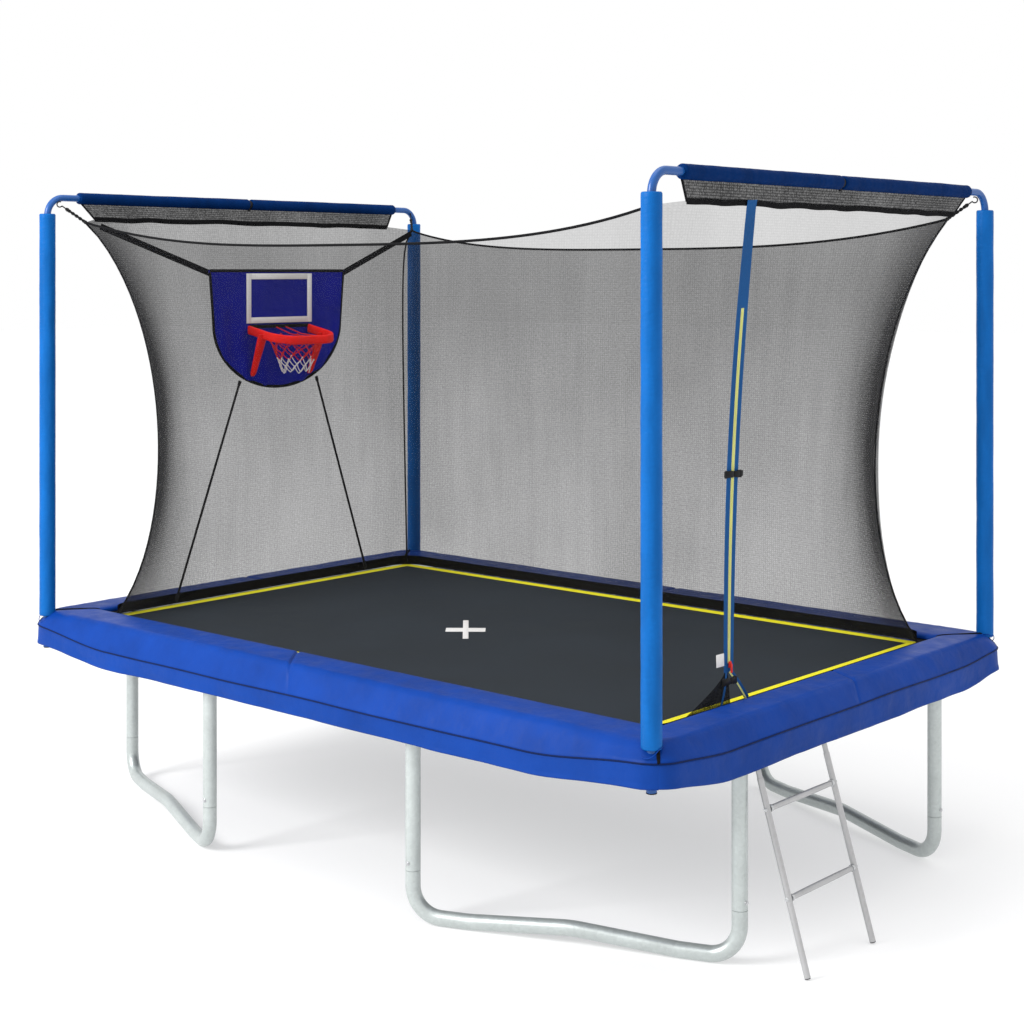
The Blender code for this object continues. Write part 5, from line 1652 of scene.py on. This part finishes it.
def build_hoop_net():
    """Ball net of knotted cords, red above and white below, and the laces over the rim."""
    centre = RIM_X + RIM_DEPTH / 2
    top = RIM_Z - RIM_DROP * 0.5 - 0.020
    rows = BALL_NET_ROWS
    columns = BALL_NET_COLUMNS
    high_radius, low_radius = BALL_NET_RADII
    knots = []
    for r in range(rows + 1):
        t = r / rows
        radius = high_radius - (high_radius - low_radius) * t ** 0.75
        ring = []
        for k in range(columns):
            angle = 2 * math.pi * (k + 0.5 * (r % 2)) / columns
            x = radius * 0.78 * math.cos(angle)
            y = radius * 1.12 * math.sin(angle)
            tilt = -RIM_DROP * x / RIM_DEPTH * (1 - t)
            drop = BALL_NET_DEPTH * t
            ring.append(place(centre + x, y, top - drop + tilt + 0.004 * math.sin(5 * angle)))
        knots.append(ring)
    cords = {"red": [], "white": []}
    for r in range(rows):
        colour = "red" if r < BALL_NET_RED_ROWS else "white"
        for k in range(columns):
            knot = knots[r][k]
            neighbours = (k, (k + 1) % columns) if r % 2 else ((k - 1) % columns, k)
            for n in neighbours:
                below = knots[r + 1][n]
                sag = knot.lerp(below, 0.5) + Vector((0, 0, -0.003))
                cords[colour].append(sweep([knot, sag, below], 0.0026, 8))
            if r:
                half = Vector((0, 0, 0.005))
                cords[colour].append(sweep([knot - half, knot, knot + half], 0.0042, 8))
    add_piece("ball_net_red", merge(cords["red"]), CORD_RED, "hoop")
    add_piece("ball_net_white", merge(cords["white"]), CORD_WHITE, "hoop", ["hoop_net"])
    laces = []
    for y in (-0.03, 0.05):
        head = place(BOARD_X + 0.008, y * 0.8, BOARD_TOP_Z - 0.296)
        foot = place(centre + RIM_DEPTH / 2 - 0.012, y, RIM_Z - RIM_DROP + 0.018)
        laces.append(sweep([head, head.lerp(foot, 0.5) - Vector((0, 0, 0.012)), foot], 0.003, 8))
    add_piece("rim_laces", merge(laces), CORD_RED, "hoop")


def build_hoop_ties():
    """Webbing straps up to the net corners and elastic cords down to the net's foot."""
    for label, sy in (("front", -1), ("back", 1)):
        corner = place(BOARD_X, BOARD_HALF_WIDTH * sy, BOARD_TOP_Z)
        end = place(STRAP_END[0], STRAP_END[1] * sy, STRAP_END[2])
        inner = corner - Vector((0, 0.035 * sy, 0.025))
        path = along(inner, end, 14)
        step = (end - inner).normalized()
        wide = step.cross(Vector((1, 0, 0))).normalized()
        add_piece("board_strap_" + label, ribbon(path, [wide] * 14, 0.032, 0.0024), WEBBING, "hoop",
                  ["hoop_strap_" + label])
        top = place(BOARD_X, 0.262 * sy, BOARD_TOP_Z - BOARD_HEIGHT * 0.925)
        foot = place(CORD_FOOT[0], CORD_FOOT[1] * sy, CORD_FOOT[2])
        line = along(top, foot, 30)
        cord = add_piece("board_cord_" + label, sweep(line, 0.0060, 10), ELASTIC, None)
        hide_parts("hoop_cord_" + label)
        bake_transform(cord)
        for name, start, end, reaches, body in (
                ("cord_toggle_top_", top, foot, (0.0, 0.012, 0.024), "hoop"),
                ("cord_hook_", foot, top, (-0.004, 0.010, 0.026), "frame")):
            run = (end - start).normalized()
            shape = sweep([start + run * reach for reach in reaches], 0.0085, 12, 0.0015)
            add_piece(name + label, shape, BLACK_PLASTIC, body)


# ---------------------------------------------------------------- ladder

def ladder_x(z):
    """X of a ladder rail's axis at a height."""
    slope = (LADDER_FOOT[0] - LADDER_SKIRT[0]) / (LADDER_SKIRT[1] - LADDER_FOOT[1])
    return LADDER_SKIRT[0] + (LADDER_SKIRT[1] - z) * slope


def build_ladder():
    """Ladder rails with hooks and rubber end plugs, and rungs with bolted ends."""
    bolts = []
    for label, y in zip(("front", "back"), LADDER_Y):
        top = place(ladder_x(LADDER_TOP_Z), y, LADDER_TOP_Z)
        foot = place(LADDER_FOOT[0], y, LADDER_FOOT[1])
        step = (foot - top).normalized()
        joint = top.lerp(foot, 0.155)
        upper = sweep(along(top, joint, 3), LADDER_RADIUS - 0.0022, 24, 0.0005)
        lower = sweep(along(joint - step * 0.004, foot - step * 0.003, 5),
                      LADDER_RADIUS - 0.0006, 24, 0.001)
        rail = merge([upper, lower])
        centre = place(RAIL_X, y, RAIL_Z)
        hook = [place(ladder_x(LADDER_TOP_Z - 0.02), y, LADDER_TOP_Z - 0.02)]
        for k in range(19):
            angle = math.radians(-48 + 166 * k / 18)
            hook.append(centre + Vector((math.cos(angle), 0, math.sin(angle))) * 0.0266)
        strap = ribbon(hook, [Vector((0, 1, 0))] * len(hook), 0.022, 0.0032)
        add_piece("ladder_side_" + label, merge([rail, strap]), LADDER_GREY, "ladder",
                  ["ladder_rail_" + label])
        plug = sweep([foot - step * 0.008, foot - step * 0.003, foot], LADDER_RADIUS - 0.0016, 24, 0.0008)
        add_piece("ladder_plug_" + label, plug, RUBBER, "ladder")
        sign = -1 if label == "front" else 1
        for z in RUNG_Z:
            bolts.append(bolt(place(ladder_x(z), y, z) + Vector((0, LADDER_RADIUS * sign, 0)),
                              (0, sign, 0), 0.0050))
    for z in RUNG_Z:
        for y, inward in zip(LADDER_Y, (1, -1)):
            seat = place(ladder_x(z), y + inward * (LADDER_RADIUS + 0.006), z)
            bolts.append(lathe([(0.009, -0.006), (0.0128, -0.006), (0.0134, -0.004), (0.0134, 0.004),
                                (0.0128, 0.006), (0.009, 0.006)], seat, 24, "y"))
    add_piece("ladder_bolts", merge(bolts), ZINC, "ladder")
    for label, z in zip(("upper", "lower"), RUNG_Z):
        low = LADDER_Y[0] + LADDER_RADIUS + 0.0004
        high = LADDER_Y[1] - LADDER_RADIUS - 0.0004
        x = ladder_x(z)
        bar = sweep(along(place(x, low, z), place(x, high, z), 5),
                    [LADDER_RADIUS * 0.80] + [LADDER_RADIUS - 0.0012] * 3 + [LADDER_RADIUS * 0.80], 24)
        add_piece("ladder_step_" + label, bar, LADDER_GREY, "ladder",
                  ["ladder_rung_" + label])


# ---------------------------------------------------------------- camera, floor and light

def build_stage():
    """Pale glowing floor, even white surroundings and two soft lights."""
    floor_mesh = bpy.data.meshes.new("floor")
    corners = [(FLOOR_REACH * x, FLOOR_REACH * y, FLOOR_Z) for x, y in ((-1, -1), (1, -1), (1, 1), (-1, 1))]
    floor_mesh.from_pydata(corners, [], [(0, 1, 2, 3)])
    floor = bpy.data.objects.new("floor", floor_mesh)
    bpy.context.scene.collection.objects.link(floor)
    material = start_material("floor_white", (0.50, 0.50, 0.50), 0.90)
    vector = coordinates(material)
    soft = noise_value(material, vector, 0.6, 2.0)
    link(material, mix_colour(material, soft, (0.50, 0.50, 0.505), (0.52, 0.52, 0.52)), "Base Color")
    shader_of(material).inputs["Emission Color"].default_value = (1.0, 1.0, 1.0, 1.0)
    shader_of(material).inputs["Emission Strength"].default_value = FLOOR_GLOW
    floor.data.materials.append(material)
    world = bpy.data.worlds.new("studio")
    world.use_nodes = True
    background = world.node_tree.nodes["Background"]
    background.inputs["Color"].default_value = (1.0, 1.0, 1.0, 1.0)
    background.inputs["Strength"].default_value = 1.0
    bpy.context.scene.world = world
    for name, spot, target, size, power in LIGHTS:
        lamp = bpy.data.lights.new(name, "AREA")
        lamp.energy = power
        lamp.size = size
        obj = bpy.data.objects.new(name, lamp)
        obj.location = spot
        obj.rotation_euler = (Vector(target) - Vector(spot)).to_track_quat("-Z", "Y").to_euler()
        bpy.context.scene.collection.objects.link(obj)


def build_camera():
    """Level camera outside the near corner, looking across the bed."""
    lens = bpy.data.cameras.new("camera")
    lens.sensor_width = 36.0
    lens.lens = CAMERA_LENS
    lens.shift_y = CAMERA_SHIFT
    lens.clip_end = 200.0
    camera = bpy.data.objects.new("camera", lens)
    camera.location = place(*CAMERA_SPOT)
    camera.rotation_euler = (math.radians(90), 0.0, math.radians(CAMERA_TURN))
    bpy.context.scene.collection.objects.link(camera)
    bpy.context.scene.camera = camera
    bpy.context.scene.view_settings.view_transform = "Standard"


build_camera()
build_stage()
build_legs()
build_rails()
build_poles()
build_mat()
build_springs()
build_pads()
build_net()
build_door()
build_board()
build_rim()
build_hoop_net()
build_hoop_ties()
build_ladder()
